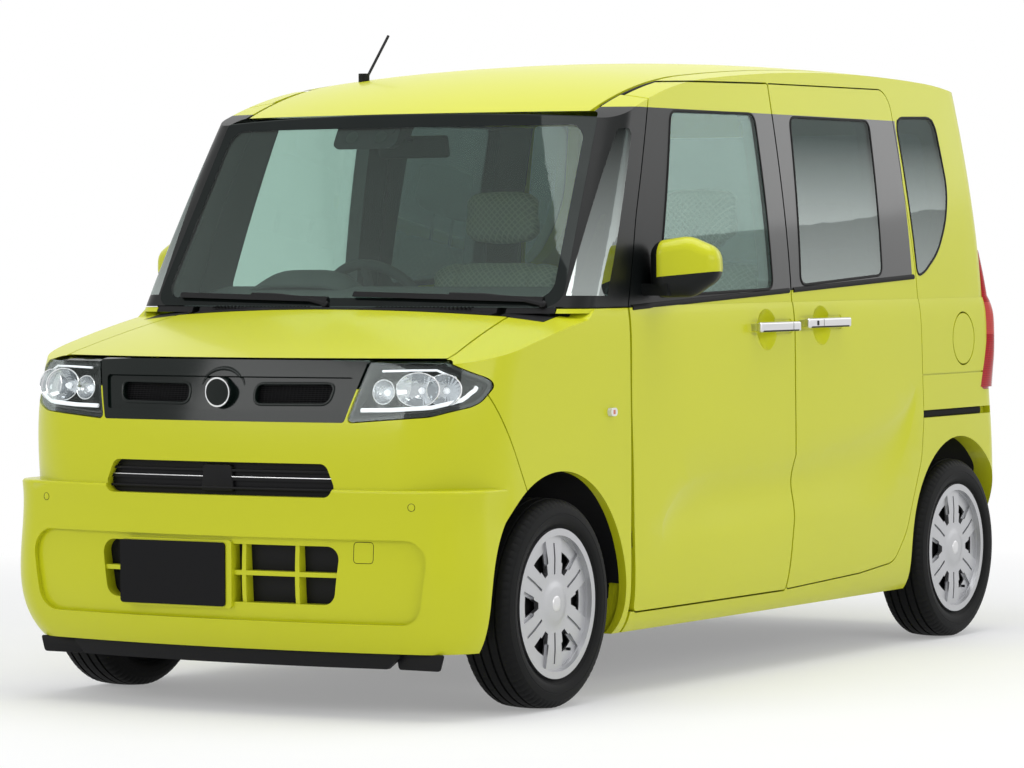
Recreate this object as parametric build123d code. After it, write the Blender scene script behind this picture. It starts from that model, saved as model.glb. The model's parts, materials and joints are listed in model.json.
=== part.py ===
from build123d import *
import math
import os

os.makedirs("parts", exist_ok=True)

# Overall sizes in millimetres: X forward, Y to the car's left, Z up from the ground
length = 3395.0
width = 1475.0
height = 1755.0
wheelbase = 2460.0
front_overhang = 540.0
front_track = 1300.0
rear_track = 1295.0

# Wheels and tyres
tyre_radius = 275.0
tyre_width = 155.0
rim_radius = 188.0
rim_lip = 8.0
axle_height = 275.0
arch_radius = 345.0
hub_bore = 16.0
spokes = 6

# Walls, gaps and clearances
door_thickness = 58.0
pillar_thickness = 44.0
skin = 24.0
roof_thickness = 30.0
glass_thickness = 5.0
shut_gap = 5.0
hinge_gap = 8.0
hood_rear_gap = 10.0
fit = 0.3
floor_top = 262.0
floor_thickness = 42.0

# Plan curvature of the outer surfaces
side_bow = 80000.0
nose_bow = 3000.0
tail_bow = 4000.0
screen_bow = 3000.0
roof_cross_bow = 5000.0
hood_cross_bow = 6000.0

# Joint axes and hinge pieces
pin_radius = 5.0
kingpin_offset = 545.0
door_axis_back = 40.0
side_set_in = 9.0
door_axis_depth = 12.0
hinge_reach = 44.0
hinge_heights = (420.0, 860.0)
roof_split = 568.0
ditch_width = 14.0
ditch_depth = 9.0
liner_thickness = 8.0

# Bumper shoulder, front plate, chin and side details
bumper_top = 588.0
bumper_round = 8.0
bumper_recess = 14.0
bar_width = 12.0
bar_height = 362.0
plate_width = 330.0
plate_height = 165.0
plate_thickness = 4.0
front_plate_y = -126.0
front_plate_z = 362.0
chin_half = 520.0
chin_height = 40.0
chin_thickness = 14.0
cup_radius = 88.0
cup_depth = 22.0
handle_recess = 2.5
rail_depth = 22.0
seam_depth = 4.0
side_lamp_proud = 6.0

nose_x = length / 2
tail_x = -length / 2
half_width = width / 2
front_axle_x = nose_x - front_overhang
rear_axle_x = front_axle_x - wheelbase
firewall_x = front_axle_x - 147.0
front_door_x = front_axle_x - 377.0
middle_x = front_axle_x - 1331.0
rear_door_x = rear_axle_x + 284.0

# Height, nose set-back, tail set-forward, side set-in, nose corner, tail corner
lower_sections = (
    (170.0, 75.0, 60.0, 40.0, 250.0, 140.0),
    (235.0, 40.0, 18.0, side_set_in, 270.0, 120.0),
    (420.0, 22.0, 0.0, 0.5, 285.0, 115.0),
    (560.0, 15.0, 5.0, 0.0, 285.0, 115.0),
    (700.0, 21.0, 18.0, 0.0, 255.0, 120.0),
    (850.0, 52.0, 30.0, 1.5, 232.0, 125.0),
    (1045.0, 128.0, 48.0, 11.0, 240.0, 130.0),
)

# Bumper bulge: height, nose set-back, side set-in, corner
bumper_sections = (
    (170.0, 45.0, 42.0, 150.0),
    (235.0, 14.0, 11.0, 140.0),
    (420.0, 0.0, 2.0, 130.0),
    (bumper_top, 4.0, 1.5, 132.0),
)

# Height, screen distance ahead of the front axle, tail set-forward, side set-in, front corner, tail corner
upper_sections = (
    (1028.0, -58.5, 49.0, 12.0, 70.0, 130.0),
    (1250.0, -189.5, 62.0, 30.0, 70.0, 130.0),
    (1480.0, -325.5, 84.0, 60.0, 70.0, 130.0),
    (1770.0, -496.5, 125.0, 108.0, 70.0, 130.0),
)


def crossing(centre_a, radius_a, centre_b, radius_b, forward):
    span = centre_b - centre_a
    along = span.normalized()
    reach = (span.length**2 + radius_a**2 - radius_b**2) / (2 * span.length)
    rise = math.sqrt(radius_a**2 - reach**2)
    across = Vector(-along.Y, along.X, 0)
    first = centre_a + along * reach + across * rise
    second = centre_a + along * reach - across * rise
    return first if (first.X > second.X) == forward else second


def plan_wire(z, front, rear, half, front_bow, rear_bow, front_corner, rear_corner):
    side_centre = Vector(0, half - side_bow, 0)

    def corner(x, bow, radius, forward):
        bow_centre = Vector(x - bow if forward else x + bow, 0, 0)
        centre = crossing(bow_centre, bow - radius, side_centre, side_bow - radius, forward)
        to_end = (centre - bow_centre).normalized()
        to_side = (centre - side_centre).normalized()
        middle = centre + (to_end + to_side).normalized() * radius
        return bow_centre + to_end * bow, middle, side_centre + to_side * side_bow

    def other(point):
        return Vector(point.X, -point.Y, 0)

    nose_end, nose_mid, side_front = corner(front, front_bow, front_corner, True)
    tail_end, tail_mid, side_rear = corner(rear, rear_bow, rear_corner, False)
    arcs = (
        (other(nose_end), Vector(front, 0, 0), nose_end),
        (nose_end, nose_mid, side_front),
        (side_front, Vector(0, half, 0), side_rear),
        (side_rear, tail_mid, tail_end),
        (tail_end, Vector(rear, 0, 0), other(tail_end)),
        (other(tail_end), other(tail_mid), other(side_rear)),
        (other(side_rear), Vector(0, -half, 0), other(side_front)),
        (other(side_front), other(nose_mid), other(nose_end)),
    )
    up = Vector(0, 0, z)
    return Wire([Edge.make_three_point_arc(*(point + up for point in arc)) for arc in arcs])


def lower_body(inset):
    wires = []
    for z, nose, tail, side, nose_corner, tail_corner in lower_sections:
        wires.append(plan_wire(z, nose_x - nose - inset, tail_x + tail + inset, half_width - side - inset,
                               nose_bow - inset, tail_bow - inset, nose_corner - inset, tail_corner - inset))
    return Solid.make_loft(wires)


def bumper_body(inset):
    wires = []
    for z, nose, side, corner in bumper_sections:
        wires.append(plan_wire(z, nose_x - nose - inset, tail_x + 400.0, half_width - side - inset,
                               nose_bow - inset, tail_bow, corner - inset, 150.0))
    return Solid.make_loft(wires)


def upper_body(inset):
    wires = []
    for z, screen, tail, side, front_corner, tail_corner in upper_sections:
        wires.append(plan_wire(z, front_axle_x + screen - inset, tail_x + tail + inset,
                               half_width - side - inset, screen_bow - inset, tail_bow - inset,
                               front_corner - min(inset, 40.0), tail_corner - inset))
    return Solid.make_loft(wires)


def barrel(edges, top, bow):
    axis = Axis((0, 0, top - bow), (1, 0, 0))
    return revolve(Face(Wire(edges)).rotate(axis, -12), axis, 24)


def under_curve(curve, front, rear, base):
    return curve + [
        Edge.make_line(front, Vector(front.X, 0, base)),
        Edge.make_line(Vector(front.X, 0, base), Vector(rear.X, 0, base)),
        Edge.make_line(Vector(rear.X, 0, base), rear),
    ]


def roof_solid(drop):
    start = Vector(front_axle_x - 957.5, 0, height - 40.0 - drop)
    crown = Vector(front_axle_x - 1757.5, 0, height - 0.5 - drop)
    end = Vector(rear_axle_x + 52.5, 0, height - 11.0 - drop)
    main = Edge.make_three_point_arc(start, crown, end)
    front_end = Vector(front_axle_x - 327.5, 0, 1545.0 - drop)
    front = Edge.make_tangent_arc(start, main.tangent_at(0) * -1, front_end)
    rear = Edge.make_tangent_arc(end, main.tangent_at(1), Vector(tail_x - 22.5, 0, 1668.0 - drop))
    brow = front.position_at(1)
    ahead = Vector(front_axle_x + 150.0, 0, brow.Z)
    curve = [main, front, rear, Edge.make_line(brow, ahead)]
    return barrel(under_curve(curve, ahead, rear.position_at(1), 900.0), height, roof_cross_bow)


def hood_solid(drop):
    front = Vector(nose_x + 60.0, 0, 880.0 - drop)
    middle = Vector(front_axle_x + 150.0, 0, 1001.0 - drop)
    rear = Vector(front_axle_x - 157.5, 0, 1062.0 - drop)
    curve = [
        Edge.make_three_point_arc(front, middle, rear),
        Edge.make_line(rear, Vector(front_axle_x - 300.0, 0, 1160.0)),
        Edge.make_line(Vector(front_axle_x - 300.0, 0, 1160.0), Vector(tail_x - 50.0, 0, 1160.0)),
    ]
    return barrel(under_curve(curve, front, Vector(tail_x - 50.0, 0, 1160.0), 20.0), height, hood_cross_bow)


def block(x0, x1, y0, y1, z0, z1):
    return Solid.make_box(x1 - x0, y1 - y0, z1 - z0, Plane((x0, y0, z0)))


def rod(start, end, radius):
    path = Vector(*end) - Vector(*start)
    return Solid.make_cylinder(radius, path.length, Plane(Vector(*start), z_dir=path))


def tube(start, end, radius, bore):
    return rod(start, end, radius) - rod(start, end, bore)


def outline(points, radius):
    path = FilletPolyline(*points, radius=radius, close=True)
    return Face(Wire(path.edges()))


def side_prism(points, radius, y0, y1, grow=0.0):
    face = outline([(x, 0, z) for x, z in points], radius)
    if grow:
        face = grown(face, grow)
    return Solid.extrude(face.moved(Location((0, y0, 0))), Vector(0, y1 - y0, 0))


def front_prism(points, radius, x0, x1, grow=0.0):
    face = outline([(0, y, z) for y, z in points], radius)
    if grow:
        face = grown(face, grow)
    return Solid.extrude(face.moved(Location((x0, 0, 0))), Vector(x1 - x0, 0, 0))


def grown(face, amount):
    wires = face.outer_wire().offset_2d(amount)
    return Face(wires if isinstance(wires, Wire) else wires.wires()[0])


def across(shape):
    return mirror(shape, about=Plane.XZ)


def solids_of(*shapes):
    found = []
    for shape in shapes:
        if isinstance(shape, (list, tuple)):
            found += solids_of(*shape)
        elif shape is not None:
            found += list(shape.solids())
    return [solid for solid in found if solid.volume > 400.0]


def largest(shape):
    return max(shape.solids(), key=lambda solid: solid.volume)


def save(name, *shapes):
    solids = solids_of(*shapes)
    for number, solid in enumerate(solids):
        if not solid.is_valid:
            print("invalid", name, number)
    print(name, len(solids), round(sum(solid.volume for solid in solids) / 1e6, 2))
    export_step(solids[0] if len(solids) == 1 else Compound(children=solids), f"parts/{name}.step")


# Outer body and its hollows
far = 2000.0
step_x = rear_axle_x + 420.0
rear_floor_top = 480.0
bulge = largest(bumper_body(0.0) & block(front_axle_x + 150.0, far, -far, far, 0, far))
shoulder = bulge.edges().filter_by_position(Axis.Z, bumper_top - 0.5, bumper_top + 0.5)
shoulder = shoulder.filter_by_position(Axis.X, front_axle_x + 151.0, far)
bulge = fillet(shoulder, bumper_round).solid()
outer_lower = largest(largest(lower_body(0.0) & hood_solid(0.0)) + bulge)
outer_upper = largest(upper_body(0.0) & roof_solid(0.0))
outer = largest(outer_lower + outer_upper)
wall_core = lower_body(door_thickness)
front_hollow = block(step_x, firewall_x, -far, far, floor_top, 1100)
rear_hollow = block(-far, step_x + 1.0, -far, far, rear_floor_top, 1100)
inner_lower = wall_core & largest(front_hollow + rear_hollow)
inner_upper = upper_body(pillar_thickness) & roof_solid(roof_thickness)
cabin = largest(largest(inner_lower) + largest(inner_upper))
bay = largest(lower_body(skin) & hood_solid(20.0) & block(firewall_x + 15.0, far, -far, far, 0, far))
arches = [
    rod((front_axle_x, 400, axle_height), (front_axle_x, 900, axle_height), arch_radius),
    rod((rear_axle_x, 470, axle_height), (rear_axle_x, 900, axle_height), arch_radius),
]
arches += [across(arch) for arch in arches]
front_under = block(step_x + floor_thickness, firewall_x, -600, 600, 0, floor_top - floor_thickness)
rear_under = block(tail_x + 90.0, step_x + floor_thickness, -600, 600, 0, rear_floor_top - floor_thickness)
shell = outer - cabin - bay - arches[0] - arches[1] - arches[2] - arches[3] - front_under - rear_under
shell = largest(shell)
skin_core = largest(lower_body(skin - 1.0) & hood_solid(19.0))
pillar_core = largest(lower_body(skin + fit) & hood_solid(20.0 + fit))
floor_core = lower_body(door_thickness + 6.0)
sill_core = lower_body(door_thickness + 6.0 - fit)

# Front-view and side-view outlines of the shut lines
lamp_top = 915.0
lamp_outline = [(380, 757), (426, lamp_top), (612, lamp_top), (712, 862), (690, 802), (600, 774)]
lamp_radii = [10, 10, 45, 28, 40, 120]
grille_outline = [(-373, 757), (373, 757), (419, lamp_top), (-419, lamp_top)]
seam_outline = [
    (front_axle_x + 150, 545), (front_axle_x + 232, 684), (front_axle_x + 330, 842),
    (nose_x + 50, 842), (nose_x + 50, 90), (front_axle_x + 150, 90),
]
front_door_outline = [
    (front_door_x - 19, 226), (front_door_x, 770), (front_door_x - 3, 1045), (front_door_x - 80, 1278),
    (front_door_x - 258, 1655), (middle_x + 3.5, 1668), (middle_x + 3.5, 470), (middle_x + 50, 226),
]
front_door_radii = [20, 900, 90, 600, 75, 6, 160, 10]
rear_door_outline = [
    (middle_x - 3.5, 1668), (middle_x - 3.5, 470), (middle_x + 42, 228), (rear_axle_x + 700, 243),
    (rear_axle_x + 470, 262), (rear_axle_x + 385, 350), (rear_door_x - 4, 560), (rear_door_x - 20, 690),
    (rear_door_x, 1114), (rear_door_x + 26, 1344), (rear_door_x + 46, 1674),
]
rear_door_radii = [6, 160, 10, 200, 90, 200, 150, 200, 600, 600, 70]
front_window = [
    (front_door_x - 165, 1072), (front_door_x - 350, 1573), (middle_x + 116, 1577), (middle_x + 116, 1087),
]
rear_window = [
    (middle_x - 66, 1096), (middle_x - 112, 1574), (rear_door_x + 214, 1575), (rear_door_x + 240, 1122),
]
quarter_window = [
    (rear_axle_x + 300, 1589), (rear_axle_x + 25, 1596), (rear_axle_x - 5, 1380), (rear_axle_x + 30, 1285),
    (rear_axle_x + 108, 1190), (rear_axle_x + 216, 1130), (rear_axle_x + 268, 1117),
]
quarter_radii = [18, 18, 180, 250, 250, 180, 18]
vent_window = [
    (front_door_x + 240, 1075), (front_door_x + 108, 1073), (front_door_x - 120, 1525),
    (front_door_x - 8, 1518),
]
tail_lamp_outline = [
    (tail_x + 165, 1192), (tail_x + 176, 911), (tail_x + 232, 759), (tail_x - 40, 759), (tail_x - 40, 1192),
]
rear_seam_outline = [
    (rear_axle_x - 205, 480), (rear_axle_x - 252, 700), (tail_x - 60, 700), (tail_x - 60, 90),
    (rear_axle_x - 205, 90),
]
screen_outline = [(-652, 1046), (652, 1046), (598, 1571), (-598, 1571)]
tailgate_axis_x = tail_x + 215.0
tailgate_axis_z = 1693.0
tailgate_hinge_y = 330.0
tailgate_edge_x = tailgate_axis_x - 45.0
tailgate_side = roof_split - shut_gap - 1.0
tailgate_outline = [
    (-588, 646), (588, 646), (604, 900), (600, 1200), (tailgate_side, 1600), (tailgate_side, height + 20),
    (-tailgate_side, height + 20), (-tailgate_side, 1600), (-600, 1200), (-604, 900),
]
tailgate_radii = [30, 30, 400, 400, 200, 5, 5, 200, 400, 400]
rear_window_outline = [(-520, 1118), (520, 1118), (488, 1560), (-488, 1560)]


def hood_zone(z0, grow, rear_gap):
    front = nose_x + 20.0
    rear_side = front_axle_x - 68.0 - rear_gap
    rear_mid = front_axle_x - 22.5 - rear_gap
    corners = [
        Vector(rear_side, 527 + grow, z0), Vector(front_axle_x + 300, 592 + grow, z0),
        Vector(front, 602 + grow, z0),
        Vector(front, -602 - grow, z0), Vector(front_axle_x + 300, -592 - grow, z0),
        Vector(rear_side, -527 - grow, z0),
    ]
    edges = [Edge.make_line(a, b) for a, b in zip(corners, corners[1:])]
    edges.append(Edge.make_three_point_arc(corners[-1], Vector(rear_mid, 0, z0), corners[0]))
    return Solid.extrude(Face(Wire(edges)), Vector(0, 0, 300))


hood_cut = hood_zone(lamp_top, shut_gap, hood_rear_gap)
lamp_cut = front_prism(lamp_outline, lamp_radii, front_axle_x + 200, nose_x + 60, 2.0)
lamp_cuts = [lamp_cut, across(lamp_cut)]
seam_cut = side_prism(seam_outline, 20, -800, 800)
door_cut = side_prism(front_door_outline, front_door_radii, roof_split, 850, shut_gap)
rear_door_cut = side_prism(rear_door_outline, rear_door_radii, roof_split, 850, shut_gap - 1.0)
screen_cut = front_prism(screen_outline, 40, front_axle_x - 560, nose_x, fit)
tailgate_cut = front_prism(tailgate_outline, tailgate_radii, tail_x - 60, tailgate_edge_x + hinge_gap,
                           shut_gap)
rear_seam_cut = side_prism(rear_seam_outline, 15, -850, 850)
tail_lamp_cut = side_prism(tail_lamp_outline, 20, 560, 850, fit)

# Hood with two hinge arms
hood_axis_x = front_axle_x - 117.5
hood_axis_z = 996.0
hood_hinge_y = 490.0
hood = largest(shell & hood_zone(lamp_top + shut_gap, 0.0, 0.0))
for side in (-1, 1):
    y0 = side * hood_hinge_y - 7
    arm = block(hood_axis_x, front_axle_x - 30, y0, y0 + 14, hood_axis_z - 11, hood_axis_z + 11)
    arm = arm + rod((hood_axis_x, y0, hood_axis_z), (hood_axis_x, y0 + 14, hood_axis_z), 11)
    arm = arm + block(front_axle_x - 56, front_axle_x - 30, y0, y0 + 14, hood_axis_z - 11, hood_axis_z + 40)
    arm = largest(arm & hood_solid(4.0))
    bore = rod((hood_axis_x, y0 - 5, hood_axis_z), (hood_axis_x, y0 + 20, hood_axis_z), pin_radius + fit)
    arm = arm - bore
    hood = hood + arm
save("hood", hood)

# Nose: grille panel, bumper and its insert
slots = []
for side in (-1, 1):
    slot_outline = [(side * 105, 804), (side * 105, 850), (side * 330, 852), (side * 318, 806)]
    slots.append(front_prism(slot_outline, 12, nose_x - 200, nose_x + 50))
grille_zone = front_prism(grille_outline, 10, nose_x - 190, nose_x + 60)
channel = front_prism([(-366, 784), (366, 784), (386, 872), (-386, 872)], 8, nose_x - 190, nose_x + 60)
nose_grille = largest(shell & grille_zone) - (channel - lower_body(7.0))
for slot in slots:
    nose_grille = nose_grille - slot
boss = rod((nose_x - 64, 0, 831), (nose_x - 31, 0, 831), 39)
boss = fillet(boss.edges().group_by(Axis.X)[-1], 6).solid()
nose_grille = largest(nose_grille + boss)
save("nose_grille", nose_grille)

lower_mouth = [(-353, 292), (353, 292), (372, 442), (-372, 442)]
upper_mouth = [(-367, 566), (367, 566), (330, 652), (-330, 652)]
recess_outline = [(-590, 246), (590, 246), (622, 462), (-622, 462)]
grille_cut = front_prism(grille_outline, 10, nose_x - 190, nose_x + 60, fit)
bumper = largest(shell & seam_cut) - hood_cut - lamp_cuts[0] - lamp_cuts[1] - grille_cut
recess = front_prism(recess_outline, 60, nose_x - 150, nose_x + 60) - bumper_body(bumper_recess)
mouths = [front_prism(lower_mouth, 34, nose_x - 150, nose_x + 60),
          front_prism(upper_mouth, 26, nose_x - 150, nose_x + 60)]
bumper = largest(bumper - recess - mouths[0] - mouths[1])
bar_core = bumper_body(bumper_recess + 6.0) - lower_body(skin)
bars = block(nose_x - 150, nose_x + 60, -400, 400, bar_height, bar_height + bar_width)
for y in (-246, -88, 88, 246):
    bars = bars + block(nose_x - 150, nose_x + 60, y - bar_width / 2, y + bar_width / 2, 280, 450)
bumper = bumper + (bars & mouths[0] & bar_core)
plate_face = nose_x - 7.5
bracket_zone = [
    (front_plate_y - plate_width / 2 + 8, front_plate_z - plate_height / 2 - 5),
    (front_plate_y + plate_width / 2 + 18, front_plate_z - plate_height / 2 - 5),
    (front_plate_y + plate_width / 2 + 18, front_plate_z + plate_height / 2 + 6),
    (front_plate_y - plate_width / 2 + 8, front_plate_z + plate_height / 2 + 6),
]
bracket = front_prism(bracket_zone, 10, nose_x - 60, plate_face) - lower_body(skin)
bumper = largest(bumper + bracket)
save("front_bumper", bumper)
plate_outline = [(front_plate_y + a * plate_width / 2, front_plate_z + b * plate_height / 2)
                 for a, b in ((-1, -1), (1, -1), (1, 1), (-1, 1))]
save("front_plate", front_prism(plate_outline, 9, plate_face + fit, plate_face + fit + plate_thickness))

# Chin below the bumper
chin_x = nose_x - 57.0
bow_centre = chin_x - nose_bow
chin_ring = tube((bow_centre, 0, 100), (bow_centre, 0, 200), nose_bow, nose_bow - chin_thickness)
chin_top = lower_sections[0][0] - fit
chin_zone = [(-chin_half, chin_top), (chin_half, chin_top), (chin_half - 45, chin_top - chin_height),
             (-chin_half + 45, chin_top - chin_height)]
save("chin_spoiler", largest(chin_ring & front_prism(chin_zone, 6, nose_x - 300, nose_x)))

insert_back = lower_body(skin + fit) - lower_body(skin + 10.0)
insert_zone = front_prism([(-395, 268), (395, 268), (395, 672), (-395, 672)], 20, nose_x - 150, nose_x + 60)
insert = largest(insert_back & insert_zone)
upper_inner = front_prism(upper_mouth, 26, nose_x - 150, nose_x + 60, -fit)
slat_core = bumper_body(16.0) + lower_body(16.0) - lower_body(skin + 4.0)
slat = block(nose_x - 150, nose_x + 60, -400, 400, 604, 612) & upper_inner & slat_core
save("bumper_grille", largest(insert + slat))

# Headlamps
lens_core = lower_body(glass_thickness)
lamp_zone = front_prism(lamp_outline, lamp_radii, front_axle_x + 200, nose_x + 60)
lens = largest((outer_lower & lamp_zone) - lens_core)
save("headlamp_lenses", lens, across(lens))
tub_zone = front_prism(lamp_outline, lamp_radii, front_axle_x + 200, nose_x + 60, -2.0)
tub_hole = front_prism(lamp_outline, lamp_radii, front_axle_x + 200, nose_x + 60, -9.0)
tub_front = lower_body(glass_thickness + fit) & hood_solid(6.0)
tub = largest(tub_front & tub_zone) - lower_body(78.0)
tub = largest(tub - (tub_hole - lower_body(66.0)))
save("headlamp_housings", tub, across(tub))

# Fenders
fender_zone = block(front_door_x + hinge_gap, far, 380, 900, 0, 1040)
fender = (shell & fender_zone) - skin_core - hood_cut - lamp_cuts[0] - grille_cut
fender = fender - side_prism(seam_outline, 20, -800, 800, 4.0)
fender = largest(fender - block(0, front_axle_x - 64, 0, 641, 870, 1100))
side_lamp_x = front_axle_x - 261.5
side_lamp_outline = [(side_lamp_x - 17, 755), (side_lamp_x + 17, 755), (side_lamp_x + 17, 777),
                     (side_lamp_x - 17, 777)]
side_pocket = side_prism(side_lamp_outline, 10.5, 650, 850, fit) - lower_body(10.0 + fit)
fender = largest(fender - side_pocket)
save("fender_left", fender)
save("fender_right", across(fender))
side_lamp = side_prism(side_lamp_outline, 10.5, 650, half_width + side_lamp_proud) - lower_body(10.0)
side_lamp = largest(side_lamp)
save("side_lamps", side_lamp, across(side_lamp))

# Windshield, cowl and roof
upper_core = upper_body(glass_thickness)
glass_shell = largest(outer_upper - upper_core)
screen = largest((glass_shell & front_prism(screen_outline, 40, front_axle_x - 520, nose_x)))
save("windshield", screen)

cowl_zone = block(firewall_x - 1, front_axle_x - 66, -638, 638, 880, 1043)
cowl_zone = largest(cowl_zone + block(firewall_x - 1, front_axle_x + 20, -525, 525, 880, 1043))
cowl = largest((shell & cowl_zone) - hood_cut)
for side in (-1, 1):
    y0 = side * hood_hinge_y
    cowl = cowl - block(firewall_x + 16, front_axle_x + 20, y0 - 13, y0 + 13, 980, 1100)
    for y1 in (y0 - 24, y0 + 7.5):
        ear = block(firewall_x + 8, hood_axis_x + 11, y1, y1 + 16.5, hood_axis_z - 14, hood_axis_z + 11)
        cowl = cowl + ear
    pin = rod((hood_axis_x, y0 - 20, hood_axis_z), (hood_axis_x, y0 + 20, hood_axis_z), pin_radius)
    cowl = cowl + pin
save("cowl_panel", cowl)

roof_zone = block(tailgate_edge_x + hinge_gap, front_axle_x, -roof_split + fit, roof_split - fit, 1500, far)
ditch = block(-far, front_axle_x, roof_split - ditch_width, roof_split, 1500, far) - roof_solid(ditch_depth)
roof = largest((shell & roof_zone) - screen_cut - tailgate_cut - ditch - across(ditch))
for side in (-1, 1):
    y0 = side * tailgate_hinge_y
    roof = roof - block(tailgate_edge_x, tailgate_axis_x + 16, y0 - 13, y0 + 13, 1500, far)
    pin_start = (tailgate_axis_x, y0 - 20, tailgate_axis_z)
    roof = roof + rod(pin_start, (tailgate_axis_x, y0 + 20, tailgate_axis_z), pin_radius)
save("roof_panel", roof)

# Tailgate with two hinge arms, and its glass
tailgate_zone = front_prism(tailgate_outline, tailgate_radii, tail_x - 60, tailgate_edge_x)
window_zone = front_prism(rear_window_outline, 45, tail_x - 60, tail_x + 300)
tailgate = largest((shell & tailgate_zone) - window_zone)
for side in (-1, 1):
    y0 = side * tailgate_hinge_y - 7
    arm = block(tailgate_edge_x - 25, tailgate_axis_x, y0, y0 + 14,
                tailgate_axis_z - 10, tailgate_axis_z + 1)
    arm = arm + rod((tailgate_axis_x, y0, tailgate_axis_z), (tailgate_axis_x, y0 + 14, tailgate_axis_z), 9)
    arm = arm - rod((tailgate_axis_x, y0 - 5, tailgate_axis_z), (tailgate_axis_x, y0 + 20, tailgate_axis_z),
                    pin_radius + fit)
    tailgate = tailgate + arm
plate_y = 105.0
plate_z = 780.0
plate_hole = 3.0
for side in (-1, 1):
    screw_start = (tail_x - 20, side * plate_y, plate_z)
    tailgate = tailgate - rod(screw_start, (tail_x + 70, side * plate_y, plate_z), plate_hole)
save("tailgate", tailgate)
back_glass = largest(glass_shell & front_prism(rear_window_outline, 45, tail_x - 60, tail_x + 300, -fit))
save("tailgate_glass", back_glass)

# Front doors: leaf, glass, mirror and handle
axis_x = front_door_x - door_axis_back
axis_y = half_width - side_set_in - door_axis_depth


def side_glass(points, radius, grow, inside=600.0):
    return largest(glass_shell & side_prism(points, radius, inside, 850, grow))


def scallop_wire(x, upper, lower, depth):
    surface = half_width - x**2 / (2 * side_bow)
    drop = upper - lower
    points = [
        Vector(x, surface + 1.5, upper + 12), Vector(x, surface - 0.35 * depth, upper - 0.06 * drop),
        Vector(x, surface - depth, upper - 0.32 * drop),
        Vector(x, surface - 0.5 * depth, lower + 0.32 * drop),
        Vector(x, surface + 1.5, lower - 8),
    ]
    top = Vector(x, surface + 40, upper + 12)
    bottom = Vector(x, surface + 40, lower - 8)
    edges = [Edge.make_spline(points), Edge.make_line(points[-1], bottom), Edge.make_line(bottom, top),
             Edge.make_line(top, points[0])]
    return Wire(edges)


# Station ahead of the door split, upper crease, lower crease, depth
scallop_stations = (
    (795.0, 452.0, 396.0, 0.5), (725.0, 520.0, 378.0, 9.0), (610.0, 568.0, 382.0, 16.0),
    (215.0, 590.0, 393.0, 18.0), (-330.0, 634.0, 402.0, 17.0), (-580.0, 672.0, 432.0, 15.0),
    (-730.0, 722.0, 570.0, 9.0), (-815.0, 792.0, 712.0, 0.5),
)
scallop = Solid.make_loft([scallop_wire(middle_x + x, *rest) for x, *rest in scallop_stations])


def handle_cup(x, x0, x1, z):
    surface = half_width - 5.5
    cup = Solid.make_sphere(cup_radius, Plane((x, surface + cup_radius - cup_depth, z - 4)))
    frame = [(x0 - 9, z - 21), (x1 + 9, z - 21), (x1 + 9, z + 21), (x0 - 9, z + 21)]
    return cup, side_prism(frame, 19, 600, 850) - lower_body(handle_recess)


door_zone = side_prism(front_door_outline, front_door_radii, roof_split + 12.0, 850)
window_hole = side_prism(front_window, 28, 500, 850)
front_handle_zone = (middle_x + 173, middle_x + 22, middle_x + 270, 977)
rear_handle_zone = (middle_x - 172, middle_x - 300, middle_x - 28, 984)
door = largest(((shell & door_zone) - window_hole) - wall_core - scallop)
for hollow in handle_cup(*front_handle_zone):
    door = door - hollow
for z in hinge_heights:
    pocket = block(axis_x - 9, axis_x + 60, axis_y - 90, axis_y + 9, z - 22, z + 22)
    bore = rod((axis_x, axis_y, z - 36), (axis_x, axis_y, z + 36), pin_radius + fit)
    door = door - pocket - bore
door = largest(door)
save("door_left", door)
save("door_right", across(door))
door_glass = side_glass(front_window, 28, -fit)
save("door_glass_left", door_glass)
save("door_glass_right", across(door_glass))

mirror_outline = [(4, 1216), (110, 1232), (192, 1196), (196, 1120), (120, 1068), (6, 1066)]
mirror_shell = front_prism(mirror_outline, [44, 70, 48, 52, 60, 44], -92, 0)
mirror_shell = fillet(mirror_shell.edges().group_by(Axis.X)[-1], 38).solid()
mirror_shell = fillet(mirror_shell.edges().group_by(Axis.X)[0], 7).solid()
mirror_shell = mirror_shell.rotate(Axis.Z, 22).moved(Location((front_door_x - 62, half_width + 8, 0)))
mirror_arm = block(front_door_x - 135, front_door_x - 78, half_width - 20, half_width + 60, 1072, 1104)
door_mirror = largest(mirror_shell + mirror_arm)
door_mirror = largest(door_mirror - outer)
save("mirror_left", door_mirror)
save("mirror_right", across(door_mirror))


def handle(x0, x1, z):
    grip = block(x0, x1, half_width + 14, half_width + 30, z - 14, z + 14)
    grip = fillet(grip.edges(), 6)
    feet = [block(x, x + 26, half_width - 12, half_width + 20, z - 10, z + 10) for x in (x0 + 6, x1 - 32)]
    bar = grip.solid() + feet[0] + feet[1]
    return largest(bar - lower_body(handle_recess))


front_handle = handle(*front_handle_zone[1:])
save("handle_left", front_handle)
save("handle_right", across(front_handle))
rear_handle = handle(*rear_handle_zone[1:])
save("rear_handles", rear_handle, across(rear_handle))

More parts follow.
